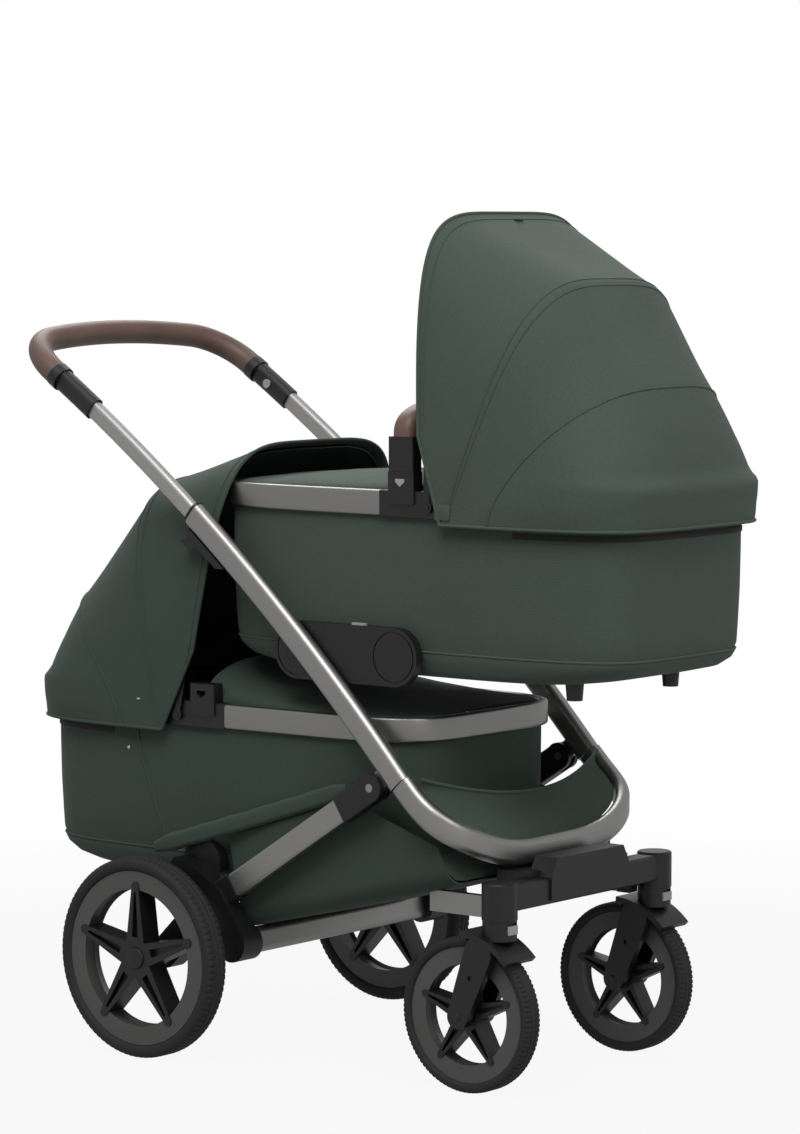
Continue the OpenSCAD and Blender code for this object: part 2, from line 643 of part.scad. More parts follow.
// Wheels: tyre, grey rim ring and a black spider of grooved spokes that lap over the ring
spokes = 5;
tip_turns = 4;
tyre_share = 0.131;
tyre_round_share = 0.45;
rear_ring_share = 0.186;
front_ring_share = 0.225;
hub_share = 0.185;
spoke_root_share = 0.27;
spoke_tip_share = 0.085;
spoke_lap_share = 0.085;
groove_share = 0.3;
groove_root_share = 0.21;
groove_end_share = 0.02;
ring_side = 5;
spoke_lap = 2;
rib_depth = 8;
module tyre(p, y, r, w) turned(p, y) translate([r * (1 - tyre_share / 2), 0])
    round_rect(r * tyre_share, w, r * tyre_share * tyre_round_share);
module rim_ring(p, y, r, w, depth) turned(p, y) polygon([
    [r * (1 - tyre_share - depth), ring_side - w / 2],
    [r * (1 - tyre_share), ring_side - w / 2],
    [r * (1 - tyre_share), w / 2 - ring_side],
    [r * (1 - tyre_share - depth), w / 2 - ring_side],
    [r * (1 - tyre_share - depth) + ring_side, w / 2 - 2 * ring_side],
    [r * (1 - tyre_share - depth) + ring_side, 2 * ring_side - w / 2]
]);
module spider(p, y, r, w, depth, bore, cap_side) translate([p[0], y, p[1]]) rotate([-90, 0, 0]) {
    half = w / 2 - ring_side + spoke_lap;
    ring_in = r * (1 - tyre_share - depth);
    difference() {
        translate([0, 0, -half]) linear_extrude(2 * half) {
            circle(r * hub_share);
            for (k = [0 : spokes - 1]) spoke_outline(k, r, ring_in + r * spoke_lap_share, 0, 1);
        }
        for (z = [-half - over, half - rib_depth]) translate([0, 0, z]) linear_extrude(rib_depth + over)
            for (k = [0 : spokes - 1])
                spoke_outline(k, r, ring_in - r * groove_end_share, r * groove_root_share, groove_share);
        translate([0, 0, spoke_lap - half - seat_gap])
            linear_extrude(2 * (half - spoke_lap + seat_gap)) difference() {
                circle(r, $fn = 96);
                circle(ring_in - seat_gap, $fn = 96);
            }
        translate([0, 0, cap_side < 0 ? 2 * spoke_lap - half : -half - over])
            cylinder(r = bore + run_gap, h = 2 * half + (cap_side == 0 ? 2 * over : over - 2 * spoke_lap));
    }
}
module spoke_outline(k, r, tip, start, fill) {
    root = r * spoke_root_share * fill / 2;
    end = r * spoke_tip_share * fill / 2;
    points = concat(
        [[start, -root]],
        [for (j = [-tip_turns : tip_turns]) let (a = 90 * j / tip_turns)
            [tip - end + end * cos(a), end * sin(a)]],
        [[start, root]]
    );
    turn = 360 * k / spokes - 90;
    polygon([for (q = points) [q[0] * cos(turn) - q[1] * sin(turn), q[0] * sin(turn) + q[1] * cos(turn)]]);
}
front_hub = [wheelbase - trail, front_r];
front_axle_r = 5;
module rear_tyre(side) color("#1f1f1f") placed() tyre(hub, side * rear_track / 2, rear_r, rear_tyre_w);
module rear_rim(side) color("#5a5a5a") placed()
    rim_ring(hub, side * rear_track / 2, rear_r, rear_tyre_w, rear_ring_share);
module rear_spider(side) color("#202020") placed()
    spider(hub, side * rear_track / 2, rear_r, rear_tyre_w, rear_ring_share, axle_r, side);
module front_tyre(side) color("#1f1f1f") placed() tyre(front_hub, side * caster_y, front_r, front_tyre_w);
module front_rim(side) color("#5a5a5a") placed()
    rim_ring(front_hub, side * caster_y, front_r, front_tyre_w, front_ring_share);
module front_spider(side) color("#202020") placed()
    spider(front_hub, side * caster_y, front_r, front_tyre_w, front_ring_share, front_axle_r, 0);

// Front forks: stem, neck, a curved guard over the tyre and two trailing legs with the axle
fork_gap = 3.5;
leg_inner = front_tyre_w / 2 + fork_gap;
leg_t = 12;
leg_low_r = 17;
leg_top_r = 23;
neck_r = 24;
neck_z0 = 2 * front_r;
guard_gap = 4;
guard_t = 8;
guard_from = 44;
guard_to = 88;
leg_back = 14;
leg_top_z = 200;
leg_top = [caster_x - leg_back, leg_top_z];
screw_r = 3.5;
screw_depth = 3;
screw_share = 0.62;
cap_r = 6;
cap_depth = 1;
tab_w = 20;
tab_h = 12;
tab_d = 5;
tab_z = 227;
tab_travel = 4;
screw_at = front_hub + screw_share * (leg_top - front_hub);
module fork(side) color("#262626") placed() translate([0, side * caster_y, 0]) difference() {
    union() {
        translate([caster_x, 0, housing_z0 - gap - over])
            cylinder(r = stem_r, h = stem_top - housing_z0 + over);
        translate([caster_x, 0, neck_z0]) cylinder(r = neck_r, h = housing_z0 - gap - neck_z0);
        both_sides() side_plate(leg_inner, leg_inner + leg_t)
            taper_bar(front_hub, leg_low_r, leg_top, leg_top_r);
        translate([front_hub[0], 0, front_hub[1]]) rotate([90, -guard_from, 0])
            rotate_extrude(angle = guard_to - guard_from, $fn = 96)
                translate([front_r + guard_gap, -leg_inner - leg_t])
                    square([guard_t, 2 * (leg_inner + leg_t)]);
        along_y(front_hub, -leg_inner - over, leg_inner + over, front_axle_r);
    }
    both_sides() {
        along_y(screw_at, leg_inner + leg_t - screw_depth, leg_inner + leg_t + over, screw_r);
        along_y(front_hub, leg_inner + leg_t - cap_depth, leg_inner + leg_t + over, cap_r);
    }
    translate([caster_x + neck_r - tab_d - gap, -tab_w / 2 - gap, tab_z - gap])
        cube([tab_d * 3, tab_w + 2 * gap, tab_h + tab_travel + 2 * gap]);
}
module lock_tab(side) color("#8d8d8c") placed()
    translate([caster_x + neck_r - tab_d, side * caster_y - tab_w / 2, tab_z]) cube([tab_d, tab_w, tab_h]);

// Carrycot pieces are drawn about the middle of the rim, with the foot end towards +X
cot_a = cot_len / 2;
cot_b = cot_w / 2;
module upper_cot() placed() translate([upper_cot_x, 0, upper_cot_z]) rotate(180) children();
module lower_cot() placed() translate([lower_cot_x, 0, lower_cot_z]) children();
ring_steps = 40;
function cot_ring(a, b, z) = [
    for (k = [0 : ring_steps - 1]) concat(oval(a, b, 360 * (k + half_step_share) / ring_steps), z)
];

// Tub: an open fabric shell with a tucked-in base
tub_t = 4;
tub_inset = 8;
seam_drop = 185;
base_draw_end = 92;
base_draw_side = 18;
seam_draw = 5;
crease_draw = 8;
crease_share = 0.35;
base_z = -rim_h / 2 - tub_depth;
tub_a = cot_a - tub_inset;
tub_b = cot_b - tub_inset;
module tub_shell() {
    seam = -rim_h / 2 - seam_drop;
    crease = seam + (base_z - seam) * crease_share;
    top = -rim_h / 2 - seat_gap;
    skin([
        cot_ring(tub_a - base_draw_end, tub_b - base_draw_side, base_z),
        cot_ring(tub_a - seam_draw - crease_draw, tub_b - seam_draw - crease_draw / 4, crease),
        cot_ring(tub_a - seam_draw, tub_b - seam_draw, seam),
        cot_ring(tub_a, tub_b, top),
        cot_ring(tub_a - tub_t, tub_b - tub_t, top),
        cot_ring(tub_a - seam_draw - tub_t, tub_b - seam_draw - tub_t, seam),
        cot_ring(tub_a - base_draw_end - tub_t, tub_b - base_draw_side - tub_t, base_z + tub_t)
    ]);
}

// Rim: an aluminium band round the foot end, a plastic band round the head end with the hinge blocks
rim_edge_share = 0.28;
rim_bend = 24;
rim_edge = rim_t * rim_edge_share;
rim_section = [
    [0, rim_edge - rim_h / 2],
    [-rim_edge, -rim_h / 2],
    [rim_edge - rim_t, -rim_h / 2],
    [-rim_t, rim_edge - rim_h / 2],
    [-rim_t, rim_h / 2 - rim_edge],
    [rim_edge - rim_t, rim_h / 2],
    [-rim_edge, rim_h / 2],
    [0, rim_h / 2 - rim_edge]
];
function turn_at(u) = acos(sgn_pow(u / cot_a, round_power / 2));
function rim_turns(u0, foot) = let (t0 = turn_at(u0))
    [for (k = [0 : rim_bend]) foot ? -t0 + 2 * t0 * k / rim_bend : t0 + (360 - 2 * t0) * k / rim_bend];
function rim_normal(t) = unit([
    sgn_pow(cos(t), 2 - 2 / round_power) / cot_a,
    sgn_pow(sin(t), 2 - 2 / round_power) / cot_b
]);
module rim_band(u0, foot) skin([
    for (t = rim_turns(u0, foot))
        [for (q = rim_section) concat(oval(cot_a, cot_b, t) + q[0] * rim_normal(t), q[1])]
]);
block_front = 30;
block_back = 86;
block_y0 = 182;
block_proud = 0.4;
pin_r = 4;
pin_tip = 205.2;
bow_pivot_z = -3;
receiver_w = 46;
receiver_rise = 27;
receiver_u = -10;
receiver_y0 = 180;
receiver_y1 = 204;
post_slot_w = 26;
post_slot_t = 12;
post_slot_depth = 22;
window_w = 16;
window_h = 11;
window_share = 0.6;
module head_frame() {
    rim_band(-block_back - seat_gap, false);
    both_sides() difference() {
        union() {
            translate([-block_back, block_y0, -rim_h / 2])
                cube([block_back + block_front - seat_gap, cot_b + block_proud - block_y0, rim_h]);
            translate([receiver_u, (receiver_y0 + receiver_y1) / 2, 0])
                linear_extrude(rim_h / 2 + receiver_rise)
                    round_rect(receiver_w, receiver_y1 - receiver_y0, strut_round);
            along_y([-hood_pivot_u, bow_pivot_z], cot_b, pin_tip, pin_r);
        }
        translate([receiver_u - post_slot_w / 2 - gap, carry_y - post_slot_t / 2 - gap,
            rim_h / 2 + receiver_rise - post_slot_depth - gap])
            cube([post_slot_w + 2 * gap, post_slot_t + 2 * gap, post_slot_depth + over]);
        side_plate(carry_y, receiver_y1 + over) translate([receiver_u, button_low]) polygon([
            [-window_w / 2 - gap, window_h + gap],
            [-window_w / 2 - gap, window_h * window_share - gap],
            [0, -gap],
            [window_w / 2 + gap, window_h * window_share - gap],
            [window_w / 2 + gap, window_h + gap]
        ]);
    }
}

// Sockets: discs on the sides of the tub that drop into the half-round seats of the chassis
socket_y0 = tub_b - seam_draw * (socket_drop - socket_r - rim_h / 2) / seam_drop + seat_gap;
module sockets() both_sides() along_y([socket_u, -socket_drop], socket_y0, adapter_y0 - gap, socket_r);

// Feet under the base
foot_r = 13;
foot_tip_r = 11;
foot_h = 24;
foot_head_u = -245;
foot_leg_u = 150;
foot_y = 115;
module feet() for (u = [foot_head_u, foot_leg_u]) for (y = [-1, 1])
    translate([u, y * foot_y, base_z - foot_h]) cylinder(r1 = foot_tip_r, r2 = foot_r, h = foot_h - seat_gap);

// Hood: fabric from the front bow over the middle bow and down to a hem round the head end
hood_t = 2.4;
hood_core_shares = [0.5, 0.2];
hood_proud = 7;
hood_a = cot_a + hood_proud;
hood_b = 208;
hem_drop = 26;
head_rise = 4;
hood_turns = 24;
bow_lean = 26;
rear_lean = 62;
middle_reach_share = 0.862;
rear_reach_share = 0.74;
lean_share = 0.9;
late_share = 0.4;
hem_shares = [0.125, 0.159, 0.196, 0.233, 0.29, 0.357, 0.43, 0.62, 0.78, 0.9, 0.975];
arch_powers = [5, 4.4, 3.6, 2.9, 3, 3, 2.9, 3.2, 3.6, 4, 5];
corner_z = 28;
corner_back = 36;
corner_power = 2.2;
band_z = 27;
band_fade = 20;
function smooth(v) = let (c = min(max(v, 0), 1)) c * c * (3 - 2 * c);
function bow_top(lean, reach) = [-hood_pivot_u - reach * sin(lean), bow_pivot_z + reach * cos(lean)];
function mix(a, b, v) = a + (b - a) * v;
function hood_profile(lean) = let (
    front = bow_top(-lean, bow_reach),
    middle = bow_top(bow_lean - lean * lean_share, bow_reach * middle_reach_share),
    rear = bow_top(rear_lean, bow_reach * rear_reach_share),
    head = [-hood_a, head_rise]
) concat(
    [for (k = [0 : 2]) mix(front, middle, k / 3)],
    [for (k = [0 : 2]) mix(middle, rear, k / 3)],
    [for (k = [0 : 2]) mix(rear, head, k / 3)],
    [head, [-hood_a, -hem_drop]]
);
function hood_arch(i, apex) = let (
    foot = [-hem_shares[i] * hood_a, -hem_drop],
    half = hood_b * oval_side(hem_shares[i]),
    late = 1 + late_share * smooth((i - 3) / 3)
) [
    for (k = [0 : hood_turns]) let (q = oval(half, 1, 180 * k / hood_turns, arch_powers[i]))
        on_band(i, mix(foot[0], apex[0], pow(q[1], late)), q[0], mix(foot[1], apex[1], q[1]))
];
// The front corner of the hem is round, and the lowest band stands upright outside the rim
function on_band(i, u, y, z) = let (
    low = max(corner_z - z, 0) / (corner_z + hem_drop),
    back = u - corner_back * pow(low, corner_power) * max(1 - i / 3, 0),
    edge = pow(pow(abs(back) / hood_a, round_power) + pow(abs(y) / hood_b, round_power), 1 / round_power),
    spread = mix(1, 1 / edge, 1 - smooth((z - band_z) / band_fade))
) [back * spread, y * spread, z];
hood_core = [-hood_a * hood_core_shares[0], 0, bow_reach * hood_core_shares[1]];
module hood_shell(lean) {
    profile = hood_profile(lean);
    outer = [for (i = [0 : len(profile) - 1]) hood_arch(i, profile[i])];
    sheet_skin(outer, [for (row = outer) [for (p = row) p + hood_t * unit(hood_core - p)]]);
}

// Bows: flat strips bent into arches, with an eye on the pivot pin at each end
bow_w = 10;
bow_t = 1.6;
front_bow_power = 5;
middle_bow_power = 2.9;
eye_r = 8;
front_bow_b = 204.2;
middle_bow_b = 202.3;
front_bow_inset = 9;
middle_bow_inset = 8;
bow_turns = 24;
module bow(lean, b, reach, power) translate([-hood_pivot_u, 0, bow_pivot_z]) rotate([0, -lean, 0])
difference() {
    union() {
        rotate([90, 0, 90]) linear_extrude(bow_w, center = true) polygon(concat(
            [for (k = [0 : bow_turns]) oval(b, reach, 180 * k / bow_turns, power)],
            [for (k = [bow_turns : -1 : 0]) oval(b - bow_t, reach - bow_t, 180 * k / bow_turns, power)]
        ));
        both_sides() along_y([0, 0], b - bow_t, b, eye_r);
    }
    along_y([0, 0], -cot_w, cot_w, pin_r + run_gap);
}
module front_bow(lean) bow(-lean, front_bow_b, bow_reach - front_bow_inset, front_bow_power);
module middle_bow(lean) bow(bow_lean - lean * lean_share, middle_bow_b,
    bow_reach * middle_reach_share - middle_bow_inset, middle_bow_power);

// Apron: the padded cover over the foot end, flat at the foot and raised towards the head
apron_t = 4;
apron_u0 = -20;
apron_u1 = 362;
apron_gap = 1;
apron_power = 2.6;
apron_turns = 20;
apron_steps = 12;
apron_seat = 3;
apron_foot_h = 5;
upper_apron_h = 20;
lower_apron_h = 58;
upper_fall_power = 2.5;
lower_fall_power = 1.1;
function apron_edge(u) = let (t = turn_at(u)) oval(cot_a, cot_b, t) - (rim_t + apron_gap) * rim_normal(t);
function apron_half(edge) = edge[0] < block_front + over ? receiver_y0 - gap : edge[1];
function apron_arch(v, h, power, inset) = let (
    edge = apron_edge(apron_u0 + (apron_u1 - apron_u0) * v),
    height = apron_foot_h + (h - apron_foot_h) * (power > 2 ? 1 - pow(v, power) : pow(1 - v, 2 * power))
) [
    for (k = [0 : apron_turns])
        let (q = oval(apron_half(edge) - inset, height - inset, 180 * k / apron_turns, apron_power))
            [edge[0], q[0], rim_h / 2 - apron_seat + q[1]]
];
module apron_cover(h, power) sheet_skin(
    [for (k = [apron_steps : -1 : 0]) apron_arch(k / apron_steps, h, power, 0)],
    [for (k = [apron_steps : -1 : 0]) apron_arch(k / apron_steps, h, power, apron_t)]
);

module upper_apron() color("#3f4b43") upper_cot() apron_cover(upper_apron_h, upper_fall_power);
module lower_apron() color("#37423b") lower_cot() apron_cover(lower_apron_h, lower_fall_power);

// Mattress: a pad with a crowned top and drawn-in sides
pad_h = 40;
pad_a = 262;
pad_b = 160;
pad_draw = 8;
pad_belly_share = 0.45;
pad_top_share = 0.6;
module mattress() {
    z0 = base_z + tub_t + gap;
    skin([
        cot_ring(pad_a - pad_draw, pad_b - pad_draw, z0),
        cot_ring(pad_a, pad_b, z0 + pad_h * pad_belly_share),
        cot_ring(pad_a - pad_draw, pad_b - pad_draw, z0 + pad_h - pad_draw),
        cot_ring(pad_a * pad_top_share, pad_b * pad_top_share, z0 + pad_h)
    ]);
}

// Carry handle of the upper cot: posts that plug into the receivers and a leather grip between them
post_w = 44;
post_top = 93;
post_foot = rim_h / 2 + receiver_rise + gap;
post_round = 5;
carry_y = (receiver_y0 + receiver_y1) / 2;
carry_h = 34;
carry_t = 24;
carry_rise = 42;
carry_power = 3;
carry_steps = 12;
carry_button_t = 5;
button_low = rim_h / 2 + receiver_rise - post_slot_depth + over;
carry_travel = 2;
module carry_posts() both_sides() {
    translate([receiver_u, carry_y, post_foot]) linear_extrude(post_top - post_foot)
        round_rect(post_w, receiver_y1 - receiver_y0, post_round);
    translate([receiver_u - post_slot_w / 2, carry_y - post_slot_t / 2, post_foot - post_slot_depth])
        cube([post_slot_w, post_slot_t, post_slot_depth + over]);
}
carry_path = [
    for (k = [-carry_steps : carry_steps])
        let (q = oval(carry_rise, carry_y, 90 * k / carry_steps, carry_power))
            [receiver_u, q[1], post_top + gap + q[0]]
];
carry_rings = [
    for (i = [0 : len(carry_path) - 1])
        let (
            end = i == 0 ? 1 : i == len(carry_path) - 1 ? -1 : 0,
            t = end == 0 ? path_tangent(carry_path, i) : [0, 0, end],
            up = cross([1, 0, 0], t)
        )
            [for (q = flat_oval_section(carry_h, carry_t, 14)) carry_path[i] + q[1] * [1, 0, 0] + q[0] * up]
];
module carry_button(side) mirror([0, side < 0 ? 1 : 0, 0])
    side_plate(receiver_y1 - carry_button_t + carry_travel, receiver_y1) translate([receiver_u, button_low])
        polygon([
            [-window_w / 2, window_h],
            [-window_w / 2, window_h * window_share],
            [0, 0],
            [window_w / 2, window_h * window_share],
            [window_w / 2, window_h]
        ]);

side_tubes();
front_loop();
hook_clips();
front_beam();
basket_arms();
footrest();
basket();
upper_adapters();
adapter_buttons();
handle_tube();
handle_grip();
handle_sleeves();
handle_button(1);  // handle_button_left
handle_button(-1);  // handle_button_right
struts();
strut_sleeves();
rear_brackets();
rear_cross_bar();
rear_axles();
brake_pedal();
fork(1);  // fork_left
fork(-1);  // fork_right
lock_tab(1);  // lock_tab_left
lock_tab(-1);  // lock_tab_right
rear_tyre(1);  // rear_tyre_left
rear_rim(1);  // rear_rim_left
rear_spider(1);  // rear_spider_left
rear_tyre(-1);  // rear_tyre_right
rear_rim(-1);  // rear_rim_right
rear_spider(-1);  // rear_spider_right
front_tyre(1);  // front_tyre_left
front_rim(1);  // front_rim_left
front_spider(1);  // front_spider_left
front_tyre(-1);  // front_tyre_right
front_rim(-1);  // front_rim_right
front_spider(-1);  // front_spider_right
color("#3f4b43") upper_cot() tub_shell();  // upper_tub
color("#8a8885") upper_cot() rim_band(block_front, true);  // upper_rim
color("#2a2a2a") upper_cot() head_frame();  // upper_head_frame
color("#232323") upper_cot() sockets();  // upper_sockets
color("#232323") upper_cot() feet();  // upper_feet
color("#445048") upper_cot() hood_shell(0);  // upper_hood
color("#4a4a4a") upper_cot() front_bow(0);  // upper_bow_front
color("#4a4a4a") upper_cot() middle_bow(0);  // upper_bow_middle
upper_apron();
color("#d9d6cf") upper_cot() mattress();  // upper_mattress
color("#2a2a2a") upper_cot() carry_posts();
color("#6f5a4f") upper_cot() skin(carry_rings);  // carry_grip
color("#a5a5a3") upper_cot() carry_button(-1);  // carry_button_left
color("#a5a5a3") upper_cot() carry_button(1);  // carry_button_right
color("#3f4b43") lower_cot() tub_shell();  // lower_tub
color("#8a8885") lower_cot() rim_band(block_front, true);  // lower_rim
color("#2a2a2a") lower_cot() head_frame();  // lower_head_frame
color("#232323") lower_cot() sockets();  // lower_sockets
color("#232323") lower_cot() feet();  // lower_feet
color("#445048") lower_cot() hood_shell(lower_lean);  // lower_hood
color("#4a4a4a") lower_cot() front_bow(lower_lean);  // lower_bow_front
color("#4a4a4a") lower_cot() middle_bow(lower_lean);  // lower_bow_middle
lower_apron();
color("#d9d6cf") lower_cot() mattress();  // lower_mattress
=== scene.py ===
# %% [markdown]
# # A twin pram with two carrycots
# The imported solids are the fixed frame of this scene. The hard pieces that are exact already keep their own
# mesh and get a finish. Fabric, leather and tyres are modelled here, each in the space of its solid,
# because cloth, hide and rubber show forms that a plain solid lacks.

import json
import math

import bpy
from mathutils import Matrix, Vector, noise


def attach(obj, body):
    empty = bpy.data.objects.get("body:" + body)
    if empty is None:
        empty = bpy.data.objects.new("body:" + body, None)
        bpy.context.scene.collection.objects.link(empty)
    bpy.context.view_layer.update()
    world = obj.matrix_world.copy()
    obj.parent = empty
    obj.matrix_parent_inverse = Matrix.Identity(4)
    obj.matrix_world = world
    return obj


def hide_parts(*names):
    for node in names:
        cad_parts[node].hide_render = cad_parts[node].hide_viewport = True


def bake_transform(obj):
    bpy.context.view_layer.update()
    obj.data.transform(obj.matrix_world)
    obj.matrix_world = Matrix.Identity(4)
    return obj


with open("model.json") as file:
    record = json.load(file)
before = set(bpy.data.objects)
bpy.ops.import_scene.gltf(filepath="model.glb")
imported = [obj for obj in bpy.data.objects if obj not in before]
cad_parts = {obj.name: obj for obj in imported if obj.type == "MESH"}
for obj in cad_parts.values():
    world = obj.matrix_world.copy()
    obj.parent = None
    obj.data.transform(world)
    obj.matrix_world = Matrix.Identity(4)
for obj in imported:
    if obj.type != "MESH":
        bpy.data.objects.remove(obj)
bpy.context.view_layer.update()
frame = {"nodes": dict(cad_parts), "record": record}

# %% [markdown]
# ## Camera, floor and light
# A camera that was fitted to the photograph gives the view: it stands low, in front of the right side, with
# a long lens. The floor and the world are white for the camera, and three soft area lamps give plain light.

# %% Camera
CAMERA_PLACE = Vector((3.657, -4.5792, 1.1832))
CAMERA_TURN = math.radians(38.445)
CAMERA_RISE = math.radians(4.699)
LENS_MM, SENSOR_MM, FAR_CLIP = 128.71, 36, 100

bpy.ops.object.select_all(action="DESELECT")
bpy.ops.object.camera_add(location=CAMERA_PLACE)
camera = bpy.context.object
look_back = Vector((
    math.sin(CAMERA_TURN) * math.cos(CAMERA_RISE),
    -math.cos(CAMERA_TURN) * math.cos(CAMERA_RISE),
    math.sin(CAMERA_RISE),
))
camera.rotation_mode = "QUATERNION"
camera.rotation_quaternion = (-look_back).to_track_quat("-Z", "Y")
camera.data.lens = LENS_MM
camera.data.sensor_width = SENSOR_MM
camera.data.clip_end = FAR_CLIP
bpy.context.scene.camera = camera
print("camera", [round(v, 2) for v in camera.location], "lens", LENS_MM)

# %% Finish helpers
def linear(code):
    """A hex sRGB colour as linear red, green, blue and alpha."""
    parts = [int(code[i:i + 2], 16) / 255 for i in (1, 3, 5)]
    return [p / 12.92 if p <= 0.04045 else ((p + 0.055) / 1.055) ** 2.4 for p in parts] + [1]


def add(tree, kind, links=(), **settings):
    """Adds a node, sets its inputs and properties, and links (output socket, input name) pairs to it."""
    made = tree.nodes.new(kind)
    for name, value in settings.items():
        if hasattr(made, name):
            setattr(made, name, value)
        else:
            made.inputs[name.replace("_", " ")].default_value = value
    for socket, name in links:
        tree.links.new(socket, made.inputs[name])
    return made


def new_finish(name):
    """An empty material with its shader, ready for nodes."""
    finish = bpy.data.materials.new(name)
    finish.use_nodes = True
    return finish, finish.node_tree, finish.node_tree.nodes["Principled BSDF"]


# %% Floor
FLOOR_SIZE, FADE_FROM, FADE_TO = 8, 1.1, 2.6
FLOOR_GREY, FLOOR_ROUGHNESS, WHITE = "#8c8c8c", 0.9, linear("#ffffff")
FLOOR_GLOW, MIRROR_SHARE = 0.92, 0.4


def seen_directly(tree):
    """1 for what the camera sees, a share of it for reflections, 0 for light that falls on other pieces."""
    path = add(tree, "ShaderNodeLightPath")
    some = add(tree, "ShaderNodeMath", [
        (path.outputs["Is Glossy Ray"], 0), (path.outputs["Is Camera Ray"], 2)], operation="MULTIPLY_ADD")
    some.inputs[1].default_value = MIRROR_SHARE
    return add(tree, "ShaderNodeMath", [(some.outputs[0], 0), (path.outputs["Is Transmission Ray"], 1)],
               operation="ADD", use_clamp=True)


white_floor, tree, shader = new_finish("white_studio_floor")
shader.inputs["Base Color"].default_value = linear(FLOOR_GREY)
shader.inputs["Roughness"].default_value = FLOOR_ROUGHNESS
bpy.ops.mesh.primitive_plane_add(size=FLOOR_SIZE)
floor = bpy.context.object
floor.name = "studio_floor"
floor.data.materials.append(white_floor)
share = add(tree, "ShaderNodeMath", [(seen_directly(tree).outputs[0], 0)], operation="MULTIPLY")
share.inputs[1].default_value = FLOOR_GLOW
glow = add(tree, "ShaderNodeEmission", Color=WHITE, Strength=1)
lit = add(tree, "ShaderNodeMixShader", [(share.outputs[0], 0), (shader.outputs[0], 1), (glow.outputs[0], 2)])
spot = add(tree, "ShaderNodeTexCoord")
far = add(tree, "ShaderNodeVectorMath", [(spot.outputs["Object"], 0)], operation="LENGTH")
fade = add(tree, "ShaderNodeMapRange", [(far.outputs["Value"], "Value")],
           interpolation_type="SMOOTHSTEP", From_Min=FADE_FROM, From_Max=FADE_TO)
clear = add(tree, "ShaderNodeBsdfTransparent")
edge = add(tree, "ShaderNodeMixShader", [(fade.outputs[0], 0), (lit.outputs[0], 1), (clear.outputs[0], 2)])
tree.links.new(edge.outputs[0], tree.nodes["Material Output"].inputs["Surface"])
print("floor of", FLOOR_SIZE, "m, faded out by", FADE_TO, "m")

# %% World and lamps
WORLD_LIGHT, AIM = 0.3, Vector((0, 0, 0.6))
LAMPS = (
    ("key_lamp", (1.5, -3.2, 5.0), 3.0, 190),
    ("front_lamp", (4.6, -1.2, 3.0), 2.6, 60),
    ("back_lamp", (-3.0, 2.6, 4.4), 3.0, 130),
)

world = bpy.data.worlds.new("white_studio")
bpy.context.scene.world = world
world.use_nodes = True
world_tree = world.node_tree
sky = world_tree.nodes["Background"]
sky.inputs["Color"].default_value = WHITE
sky.inputs["Strength"].default_value = WORLD_LIGHT
bright = add(world_tree, "ShaderNodeBackground", Color=WHITE, Strength=1)
sky_mix = add(world_tree, "ShaderNodeMixShader", [
    (seen_directly(world_tree).outputs[0], 0), (sky.outputs[0], 1), (bright.outputs[0], 2)])
world_tree.links.new(sky_mix.outputs[0], world_tree.nodes["World Output"].inputs["Surface"])

for lamp_name, place, size, power in LAMPS:
    bpy.ops.object.light_add(type="AREA", location=place)
    lamp = bpy.context.object
    lamp.name = lamp_name
    lamp.data.size = size
    lamp.data.energy = power
    lamp.rotation_mode = "QUATERNION"
    lamp.rotation_quaternion = (AIM - Vector(place)).to_track_quat("-Z", "Y")
bpy.context.scene.view_settings.view_transform = "Standard"
print("stage with", len(LAMPS), "lamps")

# %% [markdown]
# ## Finishes
# Each finish starts from the real material. Colours are the ones that the material shows in even light,
# except for a darker copy of the green cloth that carries painted shade.
# Small patterns are sized in millimetres, and a bump gives them relief. Plastic and rubber come out of an
# eroded mould, so a fine noise does for their grain, and a slow one keeps a large face from looking flat.

# %% Moulded plastics and rubber
TONE_SPREAD, GLOSS_SPREAD = 0.12, 0.08
CLOUDS_PER_M = 14  # one cloud in about 70 mm
COLOUR_A, COLOUR_B, COLOUR_OUT = 6, 7, 2  # sockets of a Mix node that is set to colours
BLACK = linear("#000000")


def moulded(name, colour, roughness, grain_mm, relief):
    """Moulded plastic or rubber: an eroded mould gives an even fine grain and a slightly uneven sheen."""
    finish, tree, shader = new_finish(name)
    place = add(tree, "ShaderNodeTexCoord")
    grain = add(tree, "ShaderNodeTexNoise", [(place.outputs["Object"], "Vector")],
                Scale=1000 / grain_mm, Detail=2)
    cloud = add(tree, "ShaderNodeTexNoise", [(place.outputs["Object"], "Vector")],
                Scale=CLOUDS_PER_M, Detail=3)
    tone = add(tree, "ShaderNodeMapRange", [(cloud.outputs["Fac"], "Value")],
               To_Min=1 - TONE_SPREAD, To_Max=1 + TONE_SPREAD)
    dye = add(tree, "ShaderNodeMix", [(tone.outputs[0], "Factor")], data_type="RGBA", clamp_factor=False)
    dye.inputs[COLOUR_A].default_value = BLACK
    dye.inputs[COLOUR_B].default_value = linear(colour)
    sheen = add(tree, "ShaderNodeMapRange", [(grain.outputs["Fac"], "Value")],
                To_Min=roughness - GLOSS_SPREAD, To_Max=roughness + GLOSS_SPREAD)
    bump = add(tree, "ShaderNodeBump", [(grain.outputs["Fac"], "Height")],
               Strength=relief, Distance=grain_mm / 1000)
    tree.links.new(dye.outputs[COLOUR_OUT], shader.inputs["Base Color"])
    tree.links.new(sheen.outputs[0], shader.inputs["Roughness"])
    tree.links.new(bump.outputs[0], shader.inputs["Normal"])
    return finish


# Glass-filled nylon: nearly black, with a dry fine grain
black_nylon = moulded("black_moulded_nylon", "#0b0b0b", 0.45, 0.9, 0.18)
# ABS in two greys: smoother, the darker for the rim rings and the lighter for buttons and tabs
grey_abs = moulded("grey_moulded_abs", "#4c4c4b", 0.42, 0.7, 0.1)
light_abs = moulded("light_grey_abs", "#a4a4a2", 0.4, 0.7, 0.1)
